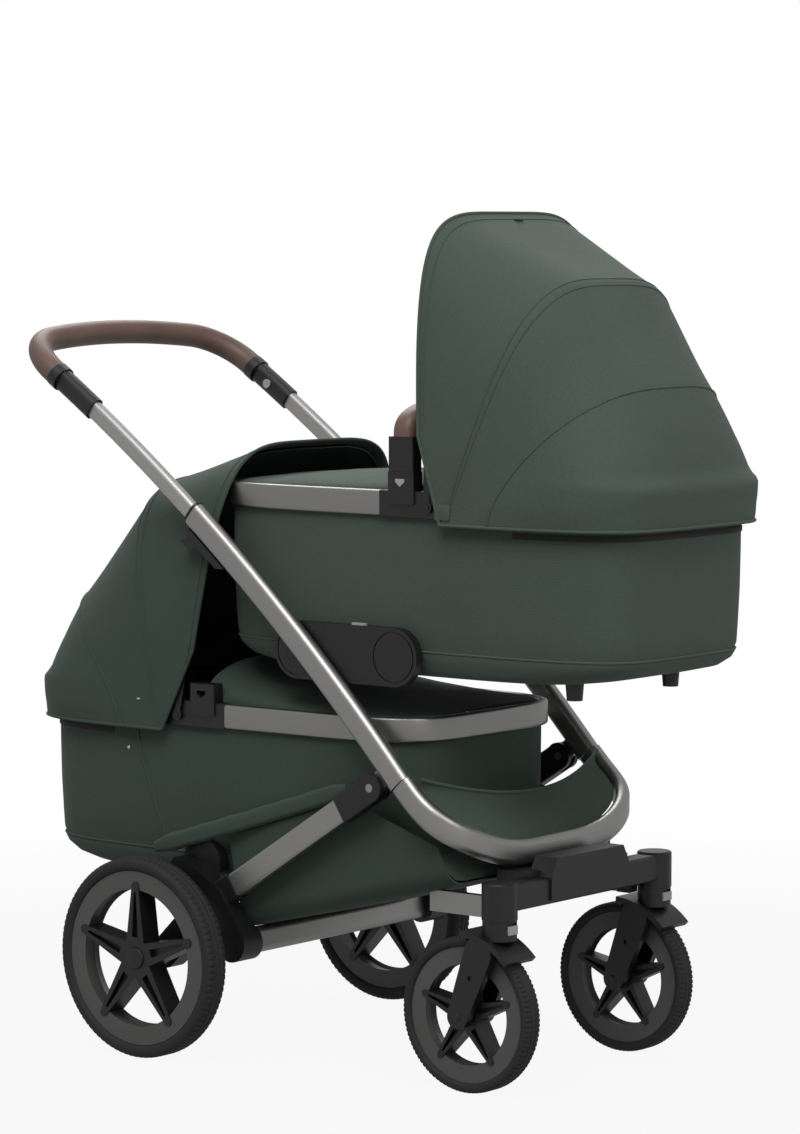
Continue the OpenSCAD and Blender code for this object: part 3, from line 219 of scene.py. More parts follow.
# Foam rubber: a dull black that scatters light
tyre_rubber = moulded("foamed_tyre_rubber", "#191a19", 0.78, 1.4, 0.35)
print("plastics", black_nylon.name, grey_abs.name, light_abs.name, tyre_rubber.name)

# %% [markdown]
# ### Metals
# Drawn aluminium tubes are anodised to a satin, and an axle is turned steel. A plain metal would mirror the
# white room like chrome. Fine lines along the tube, as roughness and a faint bump, spread the highlight.

# %% Metals
DRAWN_LINES = (0.02, 1, 1)  # stretches the noise along the pram, as drawing does
SATIN_FROM, SATIN_TO, LINE_RELIEF, LINE_DEPTH = 0.06, 0.1, 0.02, 0.0004


def anodised(name, colour, roughness, line_mm):
    """Satin anodised or brushed metal: faint drawn lines along the tube break up the highlight."""
    finish, tree, shader = new_finish(name)
    place = add(tree, "ShaderNodeTexCoord")
    stretch = add(tree, "ShaderNodeMapping", [(place.outputs["Object"], "Vector")], Scale=DRAWN_LINES)
    lines = add(tree, "ShaderNodeTexNoise", [(stretch.outputs[0], "Vector")], Scale=1000 / line_mm, Detail=3)
    sheen = add(tree, "ShaderNodeMapRange", [(lines.outputs["Fac"], "Value")],
                To_Min=roughness - SATIN_FROM, To_Max=roughness + SATIN_TO)
    bump = add(tree, "ShaderNodeBump", [(lines.outputs["Fac"], "Height")],
               Strength=LINE_RELIEF, Distance=LINE_DEPTH)
    tree.links.new(sheen.outputs[0], shader.inputs["Roughness"])
    tree.links.new(bump.outputs[0], shader.inputs["Normal"])
    shader.inputs["Base Color"].default_value = linear(colour)
    shader.inputs["Metallic"].default_value = 1
    return finish


# Frame tubes in mid grey, cot rims a little darker, the inner handle tubes clear, and bright axles
grey_aluminium = anodised("grey_anodised_aluminium", "#989796", 0.38, 1.2)
rim_aluminium = anodised("dark_anodised_aluminium", "#8e8d8c", 0.36, 1.2)
bright_aluminium = anodised("clear_anodised_aluminium", "#a8a7a5", 0.44, 1.2)
axle_steel = anodised("bright_turned_steel", "#c4c4c4", 0.28, 0.8)
print("metals", grey_aluminium.name, rim_aluminium.name, bright_aluminium.name, axle_steel.name)

# %% [markdown]
# ### Fabrics
# Hoods, aprons and tubs are a plain weave of heathered polyester, and the mattress is cotton. An image
# could show the weave, but two crossed waves on the cloth map give it at any size, with flecks for the
# mixed yarn.

# %% Woven fabrics
WAVE_TURN = 2 * math.pi / 20  # a wave node of scale 1 repeats once in this length
FLECK_THREADS, CLOTH_CLOUDS_PER_M = 2.4, 6
CLOTH_ROUGHNESS, FUZZ_ROUGHNESS = 0.85, 0.5


def woven(name, colour, thread_mm, relief, heather, sheen):
    """Plain weave on the piece's own cloth map, with dyed threads of slightly different tone."""
    finish, tree, shader = new_finish(name)
    cloth = add(tree, "ShaderNodeUVMap", uv_map="cloth")
    rate = WAVE_TURN * 1000 / thread_mm
    warp = add(tree, "ShaderNodeTexWave", [(cloth.outputs[0], "Vector")], bands_direction="X", Scale=rate)
    weft = add(tree, "ShaderNodeTexWave", [(cloth.outputs[0], "Vector")], bands_direction="Y", Scale=rate)
    over_under = add(tree, "ShaderNodeMath", [(warp.outputs["Fac"], 0), (weft.outputs["Fac"], 1)],
                     operation="MULTIPLY")
    place = add(tree, "ShaderNodeTexCoord")
    flecks = add(tree, "ShaderNodeTexNoise", [(place.outputs["Object"], "Vector")],
                 Scale=1000 / (FLECK_THREADS * thread_mm), Detail=3)
    cloud = add(tree, "ShaderNodeTexNoise", [(place.outputs["Object"], "Vector")],
                Scale=CLOTH_CLOUDS_PER_M, Detail=2)
    both = add(tree, "ShaderNodeMath", [(flecks.outputs["Fac"], 0), (cloud.outputs["Fac"], 1)],
               operation="ADD")
    tone = add(tree, "ShaderNodeMapRange", [(both.outputs[0], "Value")],
               From_Max=2, To_Min=1 - heather, To_Max=1 + heather)
    dye = add(tree, "ShaderNodeMix", [(tone.outputs[0], "Factor")], data_type="RGBA", clamp_factor=False)
    dye.inputs[COLOUR_A].default_value = BLACK
    dye.inputs[COLOUR_B].default_value = linear(colour)
    bump = add(tree, "ShaderNodeBump", [(over_under.outputs[0], "Height")],
               Strength=relief, Distance=thread_mm / 2000)
    tree.links.new(dye.outputs[COLOUR_OUT], shader.inputs["Base Color"])
    tree.links.new(bump.outputs[0], shader.inputs["Normal"])
    shader.inputs["Roughness"].default_value = CLOTH_ROUGHNESS
    shader.inputs["Sheen Weight"].default_value = sheen
    shader.inputs["Sheen Roughness"].default_value = FUZZ_ROUGHNESS
    return finish


# Threads of a hood cloth are 0.4 mm apart; they are drawn at 1.6 mm so that they show
green_cloth = woven("green_woven_polyester", "#3d4c42", 1.6, 0.3, 0.28, 0.06)
# The same green cloth, darkened as painted shade, for the lower carrycot with its hood and apron, the basket
# and the footrest, which lie under the upper carrycot
painted_shade_cloth = woven("green_woven_polyester_painted_shade", "#33433a", 1.6, 0.3, 0.28, 0.05)
pale_cotton = woven("pale_cotton_jersey", "#cfcac0", 1.6, 0.3, 0.1, 0.1)
black_tape = woven("black_zip_tape", "#171a18", 1.4, 0.3, 0.2, 0.03)
print("fabrics", green_cloth.name, painted_shade_cloth.name, pale_cotton.name, black_tape.name)

# %% [markdown]
# ### Leather
# The grips are brown hide with a pebbled grain and uneven wear. Round cells give the pebbles, and a slow
# noise mixes two browns. The seam is sewn with a waxed thread that is lighter than the hide.

# %% Leather
PEBBLE_MM, PEBBLE_RELIEF, PEBBLE_DEPTH = 2.2, 0.3, 0.0008
WEAR_PER_M, DARK_HIDE, WORN_HIDE, HIDE_ROUGHNESS = 18, "#543f37", "#745b50", 0.5
brown_leather, tree, shader = new_finish("brown_stitched_leather")
place = add(tree, "ShaderNodeTexCoord")
pebbles = add(tree, "ShaderNodeTexVoronoi", [(place.outputs["Object"], "Vector")],
              Scale=1000 / PEBBLE_MM, feature="SMOOTH_F1")
wear = add(tree, "ShaderNodeTexNoise", [(place.outputs["Object"], "Vector")], Scale=WEAR_PER_M, Detail=4)
hide = add(tree, "ShaderNodeMix", [(wear.outputs["Fac"], "Factor")], data_type="RGBA")
hide.inputs[COLOUR_A].default_value = linear(DARK_HIDE)
hide.inputs[COLOUR_B].default_value = linear(WORN_HIDE)
bump = add(tree, "ShaderNodeBump", [(pebbles.outputs["Distance"], "Height")],
           Strength=PEBBLE_RELIEF, Distance=PEBBLE_DEPTH)
tree.links.new(hide.outputs[COLOUR_OUT], shader.inputs["Base Color"])
tree.links.new(bump.outputs[0], shader.inputs["Normal"])
shader.inputs["Roughness"].default_value = HIDE_ROUGHNESS
thread = moulded("waxed_brown_thread", "#8f7a6c", 0.6, 0.6, 0.2)
print("leather", brown_leather.name, thread.name)

# %% [markdown]
# ## Shaping helpers
# A soft or bent piece is a row of rings: the same outline carried along a line, or the same arch leaning
# more and more. A grid is the primitive for that. Each of its rows takes the place of one ring, the seam is
# welded and the ends are filled. Its cloth map holds real lengths, so that a weave keeps its scale.

# %% Loft
MM = 0.001
WELD = 0.02 * MM
SHORTEST_MAP = 0.05  # least length of a cloth map, as a share of its width


def make_active(piece):
    """Selects one piece alone."""
    bpy.ops.object.select_all(action="DESELECT")
    piece.select_set(True)
    bpy.context.view_layer.objects.active = piece


def loft(name, rings, closed=True, caps=True):
    """A grid whose rows lie on the rings, which are lists of points in millimetres."""
    count = len(rings[0])
    columns, rows = count + (1 if closed else 0), len(rings)
    bpy.ops.object.select_all(action="DESELECT")
    bpy.ops.mesh.primitive_grid_add(x_subdivisions=columns - 1, y_subdivisions=rows - 1, size=1)
    piece = bpy.context.object
    piece.name = name
    middle = rings[rows // 2]
    width = sum((Vector(middle[i]) - Vector(middle[i - 1])).length for i in range(1, count)) * MM
    length = sum((Vector(rings[j][0]) - Vector(rings[j - 1][0])).length for j in range(1, rows)) * MM
    cloth = piece.data.uv_layers[0]
    cloth.name = "cloth"
    for corner in cloth.data:
        corner.uv = (corner.uv[0] * width, corner.uv[1] * max(length, width * SHORTEST_MAP))
    for v in piece.data.vertices:
        i = round((v.co.x + 0.5) * (columns - 1))
        j = round((v.co.y + 0.5) * (rows - 1))
        v.co = Vector(rings[j][i % count]) * MM
    make_active(piece)
    bpy.ops.object.mode_set(mode="EDIT")
    bpy.ops.mesh.select_all(action="SELECT")
    bpy.ops.mesh.remove_doubles(threshold=WELD)
    if closed:
        if caps:
            bpy.ops.mesh.fill_holes(sides=0)
        bpy.ops.mesh.select_all(action="SELECT")
        bpy.ops.mesh.normals_make_consistent(inside=False)
    bpy.ops.object.mode_set(mode="OBJECT")
    return piece


def face_away(piece, inside):
    """Turns an open sheet so that its faces look away from a point in millimetres."""
    core = Vector(inside) * MM
    outward = sum((f.center - core).dot(f.normal) * f.area for f in piece.data.polygons)
    if outward < 0:
        make_active(piece)
        bpy.ops.object.mode_set(mode="EDIT")
        bpy.ops.mesh.select_all(action="SELECT")
        bpy.ops.mesh.flip_normals()
        bpy.ops.object.mode_set(mode="OBJECT")


def apply(piece, kind, **settings):
    """Adds a modifier with its settings and applies it."""
    make_active(piece)
    modifier = piece.modifiers.new(kind, kind)
    for name, value in settings.items():
        setattr(modifier, name, value)
    bpy.ops.object.modifier_apply(modifier=modifier.name)


def done(piece, body, slot, finish, *nodes, angle=40):
    """Smooths a piece up to an angle in degrees, gives it its finish, and lets it ride on its body.

    A body that is given as two names and two points only has the piece's place baked into its mesh.
    """
    make_active(piece)
    bpy.ops.object.shade_smooth_by_angle(angle=math.radians(angle))
    piece.data.materials.clear()
    piece.data.materials.append(finish)
    if isinstance(body, str):
        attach(piece, body)
    else:
        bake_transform(piece)
    if nodes:
        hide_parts(*nodes)
    print(piece.name, len(piece.data.polygons), "faces on", body if isinstance(body, str) else body[:2])
    return piece


# %% Sweep and outlines
NEARLY_UPRIGHT = 0.05
COT_POWER = 5  # how square the corners of a carrycot are: 2 is an ellipse


def sweep(line, outline, up=(0, 0, 1), loop=False):
    """Rings of an outline of (across, up) points carried along a line of points in millimetres."""
    rings = []
    count = len(line)
    for i in range(count):
        ahead = Vector(line[(i + 1) % count] if loop else line[min(i + 1, count - 1)])
        behind = Vector(line[(i - 1) % count] if loop else line[max(i - 1, 0)])
        along = (ahead - behind).normalized()
        rise = Vector(up) - along * along.dot(Vector(up))
        if rise.length < NEARLY_UPRIGHT:
            rise = Vector((1, 0, 0)) - along * along.x
        rise.normalize()
        across = rise.cross(along)
        rings.append([Vector(line[i]) + across * q[0] + rise * q[1] for q in outline])
    if loop:
        rings.append(rings[0])
    return rings


def circle(r, sides):
    """Section of a round tube."""
    turns = [2 * math.pi * k / sides for k in range(sides)]
    return [(r * math.cos(a), r * math.sin(a)) for a in turns]


def flat_oval(h, t, sides):
    """Section of a flattened tube of a height and a thickness."""
    made = []
    for k in range(sides):
        a = 2 * math.pi * (k + 0.5) / sides
        made.append((t / 2 * math.cos(a), t / 2 * math.sin(a) + math.copysign((h - t) / 2, math.sin(a))))
    return made


def signed_power(v, p):
    """A power that keeps the sign."""
    return math.copysign(abs(v) ** p, v)


def oval(a, b, turn, power=COT_POWER):
    """A point of a rounded rectangle at a turn in degrees."""
    t = math.radians(turn)
    return a * signed_power(math.cos(t), 2 / power), b * signed_power(math.sin(t), 2 / power)


def oval_side(share):
    """Half width of a carrycot, as a share of the widest, at a share of its half length."""
    return max(1 - abs(share) ** COT_POWER, 0) ** (1 / COT_POWER)


def mix(a, b, share):
    return a + (b - a) * share


print("helpers ready")

# %% [markdown]
# ## The bent tubes
# The side tubes are exact arcs and keep their solids. The front loop bends in two directions, so its smooth
# form is swept here: the same flat oval follows the tube down to level and round to the other side.

# %% Side tube line
MIDDLE_X = 225
TUBE_GAP, TUBE_H, TUBE_T = 443, 38, 22
TUBE_Y = TUBE_GAP / 2
TUBE_TOP = (46, 783)
TUBE_TOP_SLOPE, TUBE_BEND_R, TUBE_LEN = 39, 3307, 522
LOOP_REACH, LOOP_Z, LOOP_POWER, LOOP_GAP = 99, 321, 4, 2.6


def on_tube(run):
    """Place along the middle line of a side tube, as distance from the rear axle and height."""
    start = math.radians(90 - TUBE_TOP_SLOPE)
    a = start - run / TUBE_BEND_R
    centre_x = TUBE_TOP[0] - TUBE_BEND_R * math.cos(start)
    centre_z = TUBE_TOP[1] - TUBE_BEND_R * math.sin(start)
    return centre_x + TUBE_BEND_R * math.cos(a), centre_z + TUBE_BEND_R * math.sin(a)


def at(x, y, z):
    """A place measured from the rear axle, moved to the frame's own middle."""
    return Vector((x - MIDDLE_X, y, z))


TUBE_END = on_tube(TUBE_LEN)
print("tube end", [round(v, 1) for v in TUBE_END])

# %% Front loop
LOOP_STEPS, LOOP_SIDES = 40, 32
end_slope = math.radians(TUBE_TOP_SLOPE) + TUBE_LEN / TUBE_BEND_R
level_r = (TUBE_END[1] - LOOP_Z) / (1 - math.cos(end_slope))
level_run = level_r * math.sin(end_slope)
plan = []
for k in range(-LOOP_STEPS, LOOP_STEPS + 1):
    q = oval(LOOP_REACH - LOOP_GAP, TUBE_Y, 90 * k / LOOP_STEPS, LOOP_POWER)
    plan.append((TUBE_END[0] + LOOP_GAP + q[0], q[1]))
runs = [0]
for k in range(1, len(plan)):
    runs.append(runs[-1] + math.dist(plan[k], plan[k - 1]))
loop_line = []
for (x, y), run in zip(plan, runs):
    left = max(level_run - min(run, runs[-1] - run), 0)
    loop_line.append(at(x, y, LOOP_Z + level_r - math.sqrt(level_r ** 2 - left ** 2)))
loop = loft("front_loop_tube", sweep(loop_line, flat_oval(TUBE_H, TUBE_T, LOOP_SIDES)))
done(loop, "frame", "anodised_aluminium", grey_aluminium, "front_loop")

# %% [markdown]
# ## Leather handlebar
# The grip is hide that is pulled round a tube and sewn along one side. A round tube follows the bent bar:
# two short legs, two corners and a slightly crowned middle.

# %% Handlebar
GRIP_R, GRIP_CORNER, GRIP_LEG = 18, 80, 25
GRIP_SLOPE, GRIP_CROWN = math.radians(33.5), math.radians(10)
INNER_SHOWN, SLEEVE_LEN = 241, 74
LEG_STEPS, CORNER_STEPS, CROWN_STEPS, GRIP_SIDES = (0.3, 8, 16), 14, 12, 28
grip_foot = on_tube(-INNER_SHOWN - SLEEVE_LEN)
crown_r = GRIP_CORNER + (TUBE_Y - GRIP_CORNER) / math.sin(GRIP_CROWN)
crown_q = GRIP_LEG + (GRIP_CORNER - crown_r) * math.cos(GRIP_CROWN)
half_line = [(q, TUBE_Y) for q in LEG_STEPS]
for k in range(CORNER_STEPS + 1):
    a = (math.pi / 2 - GRIP_CROWN) * k / CORNER_STEPS
    half_line.append((GRIP_LEG + GRIP_CORNER * math.sin(a), TUBE_Y - GRIP_CORNER + GRIP_CORNER * math.cos(a)))
for k in range(1, CROWN_STEPS + 1):
    b = GRIP_CROWN * (1 - k / CROWN_STEPS)
    half_line.append((crown_q + crown_r * math.cos(b), crown_r * math.sin(b)))
flat_line = [(q, -y) for q, y in half_line] + half_line[-2::-1]
grip_line = [at(grip_foot[0] - q * math.cos(GRIP_SLOPE), y, grip_foot[1] + q * math.sin(GRIP_SLOPE))
             for q, y in flat_line]
across_grip = Vector((math.sin(GRIP_SLOPE), 0, math.cos(GRIP_SLOPE)))
grip = loft("leather_handlebar", sweep(grip_line, circle(GRIP_R, GRIP_SIDES), across_grip))
done(grip, "handle", "brown_leather", brown_leather, "handle_grip")

# %% [markdown]
# ### Stitches and collars
# The seam runs under the bar, where only its stitches show, and a black collar covers each end of the hide.
# A stitch is a short thread with pointed ends. One is made for each place along the seam, and all are
# joined.

# %% Stitches along a leather seam
STITCH_STEP, STITCH_LEN, STITCH_R, STITCH_SIDES = 11, 7, 0.9, 6
SEAM_TRIM, STITCH_PROUD = 4, 0.2


def stitch_row(name, line, body):
    """Short threads along a line of points, joined to one piece."""
    stitches = []
    travelled, next_at = 0.0, STITCH_STEP / 2
    for a, b in zip(line, line[1:]):
        span = (b - a).length
        along = (b - a).normalized() * STITCH_LEN / 2
        while next_at <= travelled + span:
            middle = a + (b - a) * ((next_at - travelled) / span)
            stitches.append([middle - along, middle, middle + along])
            next_at += STITCH_STEP
        travelled += span
    pieces = []
    for k, row in enumerate(stitches):
        start, end = [row[0]] * STITCH_SIDES, [row[-1]] * STITCH_SIDES
        rings = [start, *sweep(row, circle(STITCH_R, STITCH_SIDES)), end]
        pieces.append(loft(f"{name}_{k}", rings, caps=False))
    bpy.ops.object.select_all(action="DESELECT")
    for piece in pieces:
        piece.select_set(True)
    bpy.context.view_layer.objects.active = pieces[0]
    bpy.ops.object.join()
    pieces[0].name = name
    return done(pieces[0], body, "brown_leather", thread)


seam_line = [p - across_grip * (GRIP_R + STITCH_PROUD) for p in grip_line[SEAM_TRIM:-SEAM_TRIM]]
stitch_row("handlebar_stitches", seam_line, "handle")

# %% Grip collars
COLLAR_PROUD, COLLAR_POINTS = 0.8, 3
collar_outline = circle(GRIP_R + COLLAR_PROUD, GRIP_SIDES)
for side, ends in (("right", grip_line[:COLLAR_POINTS]), ("left", grip_line[-COLLAR_POINTS:])):
    collar = loft(f"grip_collar_{side}", sweep(ends, collar_outline, across_grip))
    done(collar, "handle", "black_plastic", black_nylon)

# %% [markdown]
# ## Places in the carrycots
# Both carrycots are the same but for their direction: the upper one has its head end towards the front, the
# lower one towards the rear. All their pieces are drawn once, from the middle of the rim towards the foot
# end, and a function takes a point to its place in either.

# %% Cot places
UPPER_X, UPPER_Z, LOWER_X, LOWER_Z = 398, 811, 52, 491
SIDES = (("left", 1), ("right", -1))


def in_upper(u, y, z):
    """A place in the upper carrycot, measured from the middle of its rim towards its foot end."""
    return at(UPPER_X - u, -y, UPPER_Z + z)


def in_lower(u, y, z):
    """The same place in the lower carrycot."""
    return at(LOWER_X + u, y, LOWER_Z + z)


# The lower carrycot gets the darker green cloth, whose colour is painted shade from the upper carrycot
COTS = (("upper", in_upper, green_cloth), ("lower", in_lower, painted_shade_cloth))
print("rim heights", UPPER_Z, "and", LOWER_Z, "mm")

# %% [markdown]
# ### Carry grip
# The upper carrycot is carried by a leather bow between two posts. Its flat section turns with the bow and
# ends square on the posts, so its rings are set one by one along half of a squared ellipse.

# %% Carry grip
RECEIVER_U, CARRY_Y, POST_TOP, POST_GAP = -10, 192, 93, 0.3
CARRY_RISE, CARRY_H, CARRY_T, CARRY_POWER = 42, 34, 24, 3
CARRY_STEPS, CARRY_SIDES = 28, 28
carry_line = []
for k in range(-CARRY_STEPS, CARRY_STEPS + 1):
    q = oval(CARRY_RISE, CARRY_Y, 90 * k / CARRY_STEPS, CARRY_POWER)
    carry_line.append((q[1], POST_TOP + POST_GAP + q[0]))
carry_rings = []
last = len(carry_line) - 1
for k, (y, z) in enumerate(carry_line):
    y0, z0 = carry_line[max(k - 1, 0)]
    y1, z1 = carry_line[min(k + 1, last)]
    along = Vector((y1 - y0, z1 - z0)).normalized()
    if k in (0, last):
        along = Vector((0, 1 if k == 0 else -1))
    carry_rings.append([
        in_upper(RECEIVER_U + q[1], y + q[0] * along.y, z - q[0] * along.x)
        for q in flat_oval(CARRY_H, CARRY_T, CARRY_SIDES)
    ])
carry = loft("leather_carry_grip", carry_rings)
done(carry, "carry_handle", "brown_leather", brown_leather, "carry_grip")

# %% [markdown]
# ## Carrycot bodies
# Each body is one soft shell: cloth over a stiff liner, nearly straight at the side, drawn in under a piped
# seam and closed by a flat base. Rings from the rim down to the middle of the base make it in one loft, and
# Solidify gives the wall its thickness.

# %% Tubs
COT_A, COT_B, RIM_H, RIM_T = 371, 199, 36, 14
TUB_A, TUB_B, TUB_INSIDE = 363, 191, (0, 0, -120)
TUB_TURNS, TUB_WALL, TUB_CREASE = 112, 4, 60
# Inset at the end, inset at the side, height
TUB_ROWS = (
    (0, 0, -18.3), (0, 0, -24), (0.4, 0.4, -70), (1.2, 1.2, -120), (3.2, 3.2, -170), (4.6, 4.6, -196),
    (6.6, 6.4, -202), (6.8, 6.2, -205), (6.5, 5.4, -208), (12, 7, -217), (32, 10.5, -229), (66, 14.5, -236.5),
    (92, 18, -239.8), (150, 60, -240), (260, 140, -240), (362.9, 190.9, -240),
)


def tub_ring(place, inset_a, inset_b, z):
    turns = [360 * k / TUB_TURNS for k in range(TUB_TURNS)]
    return [place(*oval(TUB_A - inset_a, TUB_B - inset_b, turn), z) for turn in turns]


for name, place, cloth in COTS:
    tub = loft(f"{name}_cot_body", [tub_ring(place, *row) for row in TUB_ROWS], caps=False)
    face_away(tub, place(*TUB_INSIDE))
    apply(tub, "SOLIDIFY", thickness=TUB_WALL * MM, offset=-1)
    done(tub, f"{name}_cot", "green_fabric", cloth, f"{name}_tub", angle=TUB_CREASE)

# %% [markdown]
# ### Piping
# Where two panels meet, a thin cord is sewn into the seam. A round tube along the seam shows it, and the
# same function makes the seams and hems of the other soft pieces.

# %% Piping
PIPING_SIDES = 8
BASE_SEAM, BASE_PIPING_R = (6.2, 5.8, -205), 1.7


def piping(name, line, body, finish, r, up=(0, 0, 1), loop=False):
    """A sewn cord along a line, whose section keeps its top towards up."""
    tube = loft(name, sweep(line, circle(r, PIPING_SIDES), up, loop), caps=not loop)
    return done(tube, body, "green_fabric", finish)


for name, place, cloth in COTS:
    seam = tub_ring(place, *BASE_SEAM)
    piping(f"{name}_base_piping", seam, f"{name}_cot", cloth, r=BASE_PIPING_R, loop=True)

# %% [markdown]
# ### Rims
# An aluminium bar runs round the foot end of each carrycot, from one hinge block to the other. Its upright
# section with rounded edges is carried round the squared ellipse, with the rings closer together at the
# corners.

# %% Rim section
RIM_TURNS, RIM_EDGE, RIM_EDGE_STEPS, RIM_CROWD = 96, 4.5, 4, 0.8
BLOCK_FRONT = 30


def rim_outline():
    """Section of the rim: an upright bar with rounded edges, from its outer face inwards."""
    out, back, top = -RIM_EDGE, RIM_EDGE - RIM_T, RIM_H / 2 - RIM_EDGE
    made = []
    for x, z, start in ((out, -top, 270), (out, top, 0), (back, top, 90), (back, -top, 180)):
        for k in range(RIM_EDGE_STEPS + 1):
            a = math.radians(start + 90 * k / RIM_EDGE_STEPS)
            made.append((x + RIM_EDGE * math.cos(a), z + RIM_EDGE * math.sin(a)))
    return made


def rim_normal(turn):
    t, bend = math.radians(turn), 2 - 2 / COT_POWER
    n = Vector((signed_power(math.cos(t), bend) / COT_A, signed_power(math.sin(t), bend) / COT_B))
    return n.normalized()


def turn_at(u):
    """Turn of the rim at a distance from its middle."""
    return math.degrees(math.acos(signed_power(u / COT_A, COT_POWER / 2)))


def rim_points(turn, q):
    """A point of the rim's outer face at a turn, moved outwards by q."""
    x, y = oval(COT_A, COT_B, turn)
    n = rim_normal(turn)
    return x + q * n.x, y + q * n.y


# %% Rims
foot_turn = turn_at(BLOCK_FRONT)
for name, place, cloth in COTS:
    rings = []
    for k in range(RIM_TURNS + 1):
        turn = foot_turn * signed_power(math.sin(math.pi * (k / RIM_TURNS - 0.5)), RIM_CROWD)
        rings.append([place(*rim_points(turn, q), z) for q, z in rim_outline()])
    rim = loft(f"{name}_rim_tube", rings)
    done(rim, f"{name}_cot", "anodised_aluminium", rim_aluminium, f"{name}_rim")

# %% [markdown]
# ## Hoods
# A hood is one sheet, stretched from the front bow over the middle bow and down to a hem round the head
# end. Its arches stand on the hem and lean back more and more, so a loft of arches gives it. The cloth
# sinks a little between the bows, bellies out behind the rear seam and closes in an upright band round the
# rim. A slow noise keeps it from looking like a moulding.

# %% Hood lines
HOOD_A, HOOD_B, HEM_DROP = 378, 208, 26
PIVOT_U, PIVOT_Z = 57, -3
FRONT_LEAN, MIDDLE_LEAN, REAR_LEAN, LEAN_SHARE = -2.2, 28.6, 58.4, 0.9
FRONT_REACH, MIDDLE_REACH, REAR_REACH, HEAD_RISE = 404, 352, 317, 5.7
HOOD_SAG, HOOD_BELLY = 2, 8
# Rows of the sheet: the front bow, the middle bow, the rear seam, the top of the band and the hem
MIDDLE_ROW, REAR_ROW, BAND_ROW, HEM_ROW = 3, 6, 9, 10
PANEL = 3


def mix_row(values, row):
    """A value between the ones that are listed for whole rows."""
    step = min(int(row), len(values) - 2)
    return mix(values[step], values[step + 1], row - step)


def smooth(share):
    share = min(max(share, 0), 1)
    return share * share * (3 - 2 * share)


def bow_top(lean, reach):
    a = math.radians(lean)
    return Vector((-PIVOT_U - reach * math.sin(a), PIVOT_Z + reach * math.cos(a)))


def hood_profile(row, lean):
    """Highest point of the arch at a row of the sheet, and how far the cloth sinks there."""
    front = bow_top(FRONT_LEAN - lean, FRONT_REACH)
    middle = bow_top(MIDDLE_LEAN - lean * LEAN_SHARE, MIDDLE_REACH)
    rear = bow_top(REAR_LEAN, REAR_REACH)
    head = Vector((-HOOD_A, HEAD_RISE))
    panels = ((0, front, middle, HOOD_SAG), (MIDDLE_ROW, middle, rear, HOOD_SAG),
              (REAR_ROW, rear, head, -HOOD_BELLY))
    for start, a, b, slack in panels:
        if row <= start + PANEL:
            return mix(a, b, (row - start) / PANEL), slack * math.sin(math.pi * (row - start) / PANEL)
    return mix(head, Vector((-HOOD_A, -HEM_DROP)), row - BAND_ROW), 0


print("front bow top", [round(v) for v in hood_profile(0, 0)[0]])

# %% Hood arches
# For each whole row: where it meets the hem, as a share of the hood's length, and how square its arch is
HEM_SHARES = (0.125, 0.159, 0.196, 0.233, 0.29, 0.357, 0.43, 0.62, 0.78, 0.9, 0.975)
POWERS = (5, 4.6, 4, 3.6, 3.45, 3.3, 3.15, 3.05, 3.2, 4, 5)
CORNER_Z, CORNER_BACK, CORNER_POWER = 28, 36, 2.2
BAND_Z, BAND_FADE, BAND_BULGE = 27, 20, 2
HOOD_RIPPLE, RIPPLE_RATE, LATE_SHARE = 0.9, 0.011, 0.48
HOOD_TURNS, HOOD_CORE = 72, Vector((-HOOD_A / 2, 0, FRONT_REACH / 5))


def hood_arch(row, lean, proud=0):
    """One arch of the hood: it stands on the hem, leans to its highest point and keeps outside the rim."""
    apex, slack = hood_profile(row, lean)
    share, power = mix_row(HEM_SHARES, row), mix_row(POWERS, row)
    foot = Vector((-share * HOOD_A, -HEM_DROP))
    late = 1 + LATE_SHARE * smooth((row - MIDDLE_ROW) / PANEL)
    made = []
    for k in range(HOOD_TURNS + 1):
        turn = 180 * k / HOOD_TURNS
        y, rise = oval(HOOD_B * oval_side(share), 1, turn, power)
        z = mix(foot.y, apex.y, rise)
        u = mix(foot.x, apex.x, rise ** late)
        low = max(CORNER_Z - z, 0) / (CORNER_Z + HEM_DROP)
        u -= CORNER_BACK * low ** CORNER_POWER * max(1 - row / PANEL, 0)
        band = 1 - smooth((z - BAND_Z) / BAND_FADE)
        edge = ((abs(u) / HOOD_A) ** COT_POWER + (abs(y) / HOOD_B) ** COT_POWER) ** (1 / COT_POWER)
        spread = mix(1, 1 / edge, band)
        p = Vector((u * spread, y * spread, z))
        inward = (HOOD_CORE - p).normalized()
        held = math.sin(math.radians(turn)) ** 0.5
        ripple = HOOD_RIPPLE * noise.noise(p * RIPPLE_RATE) * held
        bulge = BAND_BULGE * math.sin(math.pi * min(max((z + HEM_DROP) / (BAND_Z + HEM_DROP), 0), 1))
        made.append(p + inward * (slack * held + ripple - bulge - proud))
    return made


print("arches of", HOOD_TURNS + 1, "points")

# %% [markdown]
# ### The hood's fold line
# When the front bow turns back, the cloth goes with it, but the hem stays on the carrycot. A hood that rode
# on one of them would tear or stay behind. Its two bodies and a line from the head end up to the front edge
# are worked out, but the sheet is left fixed where it is drawn.

# %% Hood sheets
HOOD_T, HOOD_CREASE, HOOD_INSIDE = 2.4, 50, (-180, 0, 80)
ROWS_PER_STEP, BAND_ROWS = 6, (9.25, 9.5, 9.75, HEM_ROW)
FOLD_WAY, FOLD_FROM, UPPER_FOLD_TO, LOWER_FOLD_TO = Vector((0.94, 0, 0.34)), -250, 60, 150
LOWER_LEAN = 11.5


def hood_rows(lean):
    rows = [i / ROWS_PER_STEP for i in range(BAND_ROW * ROWS_PER_STEP + 1)]
    return [hood_arch(row, lean) for row in (*rows, *BAND_ROWS)]


def hood_fold(name, place, reach):
    """The names of a hood's cot and front bow, and the two ends of a line from its head end up to its front
    edge.
    """
    start, end = place(*FOLD_WAY * FOLD_FROM) * MM, place(*FOLD_WAY * reach) * MM
    return f"{name}_cot", f"{name}_bow_front", start, end


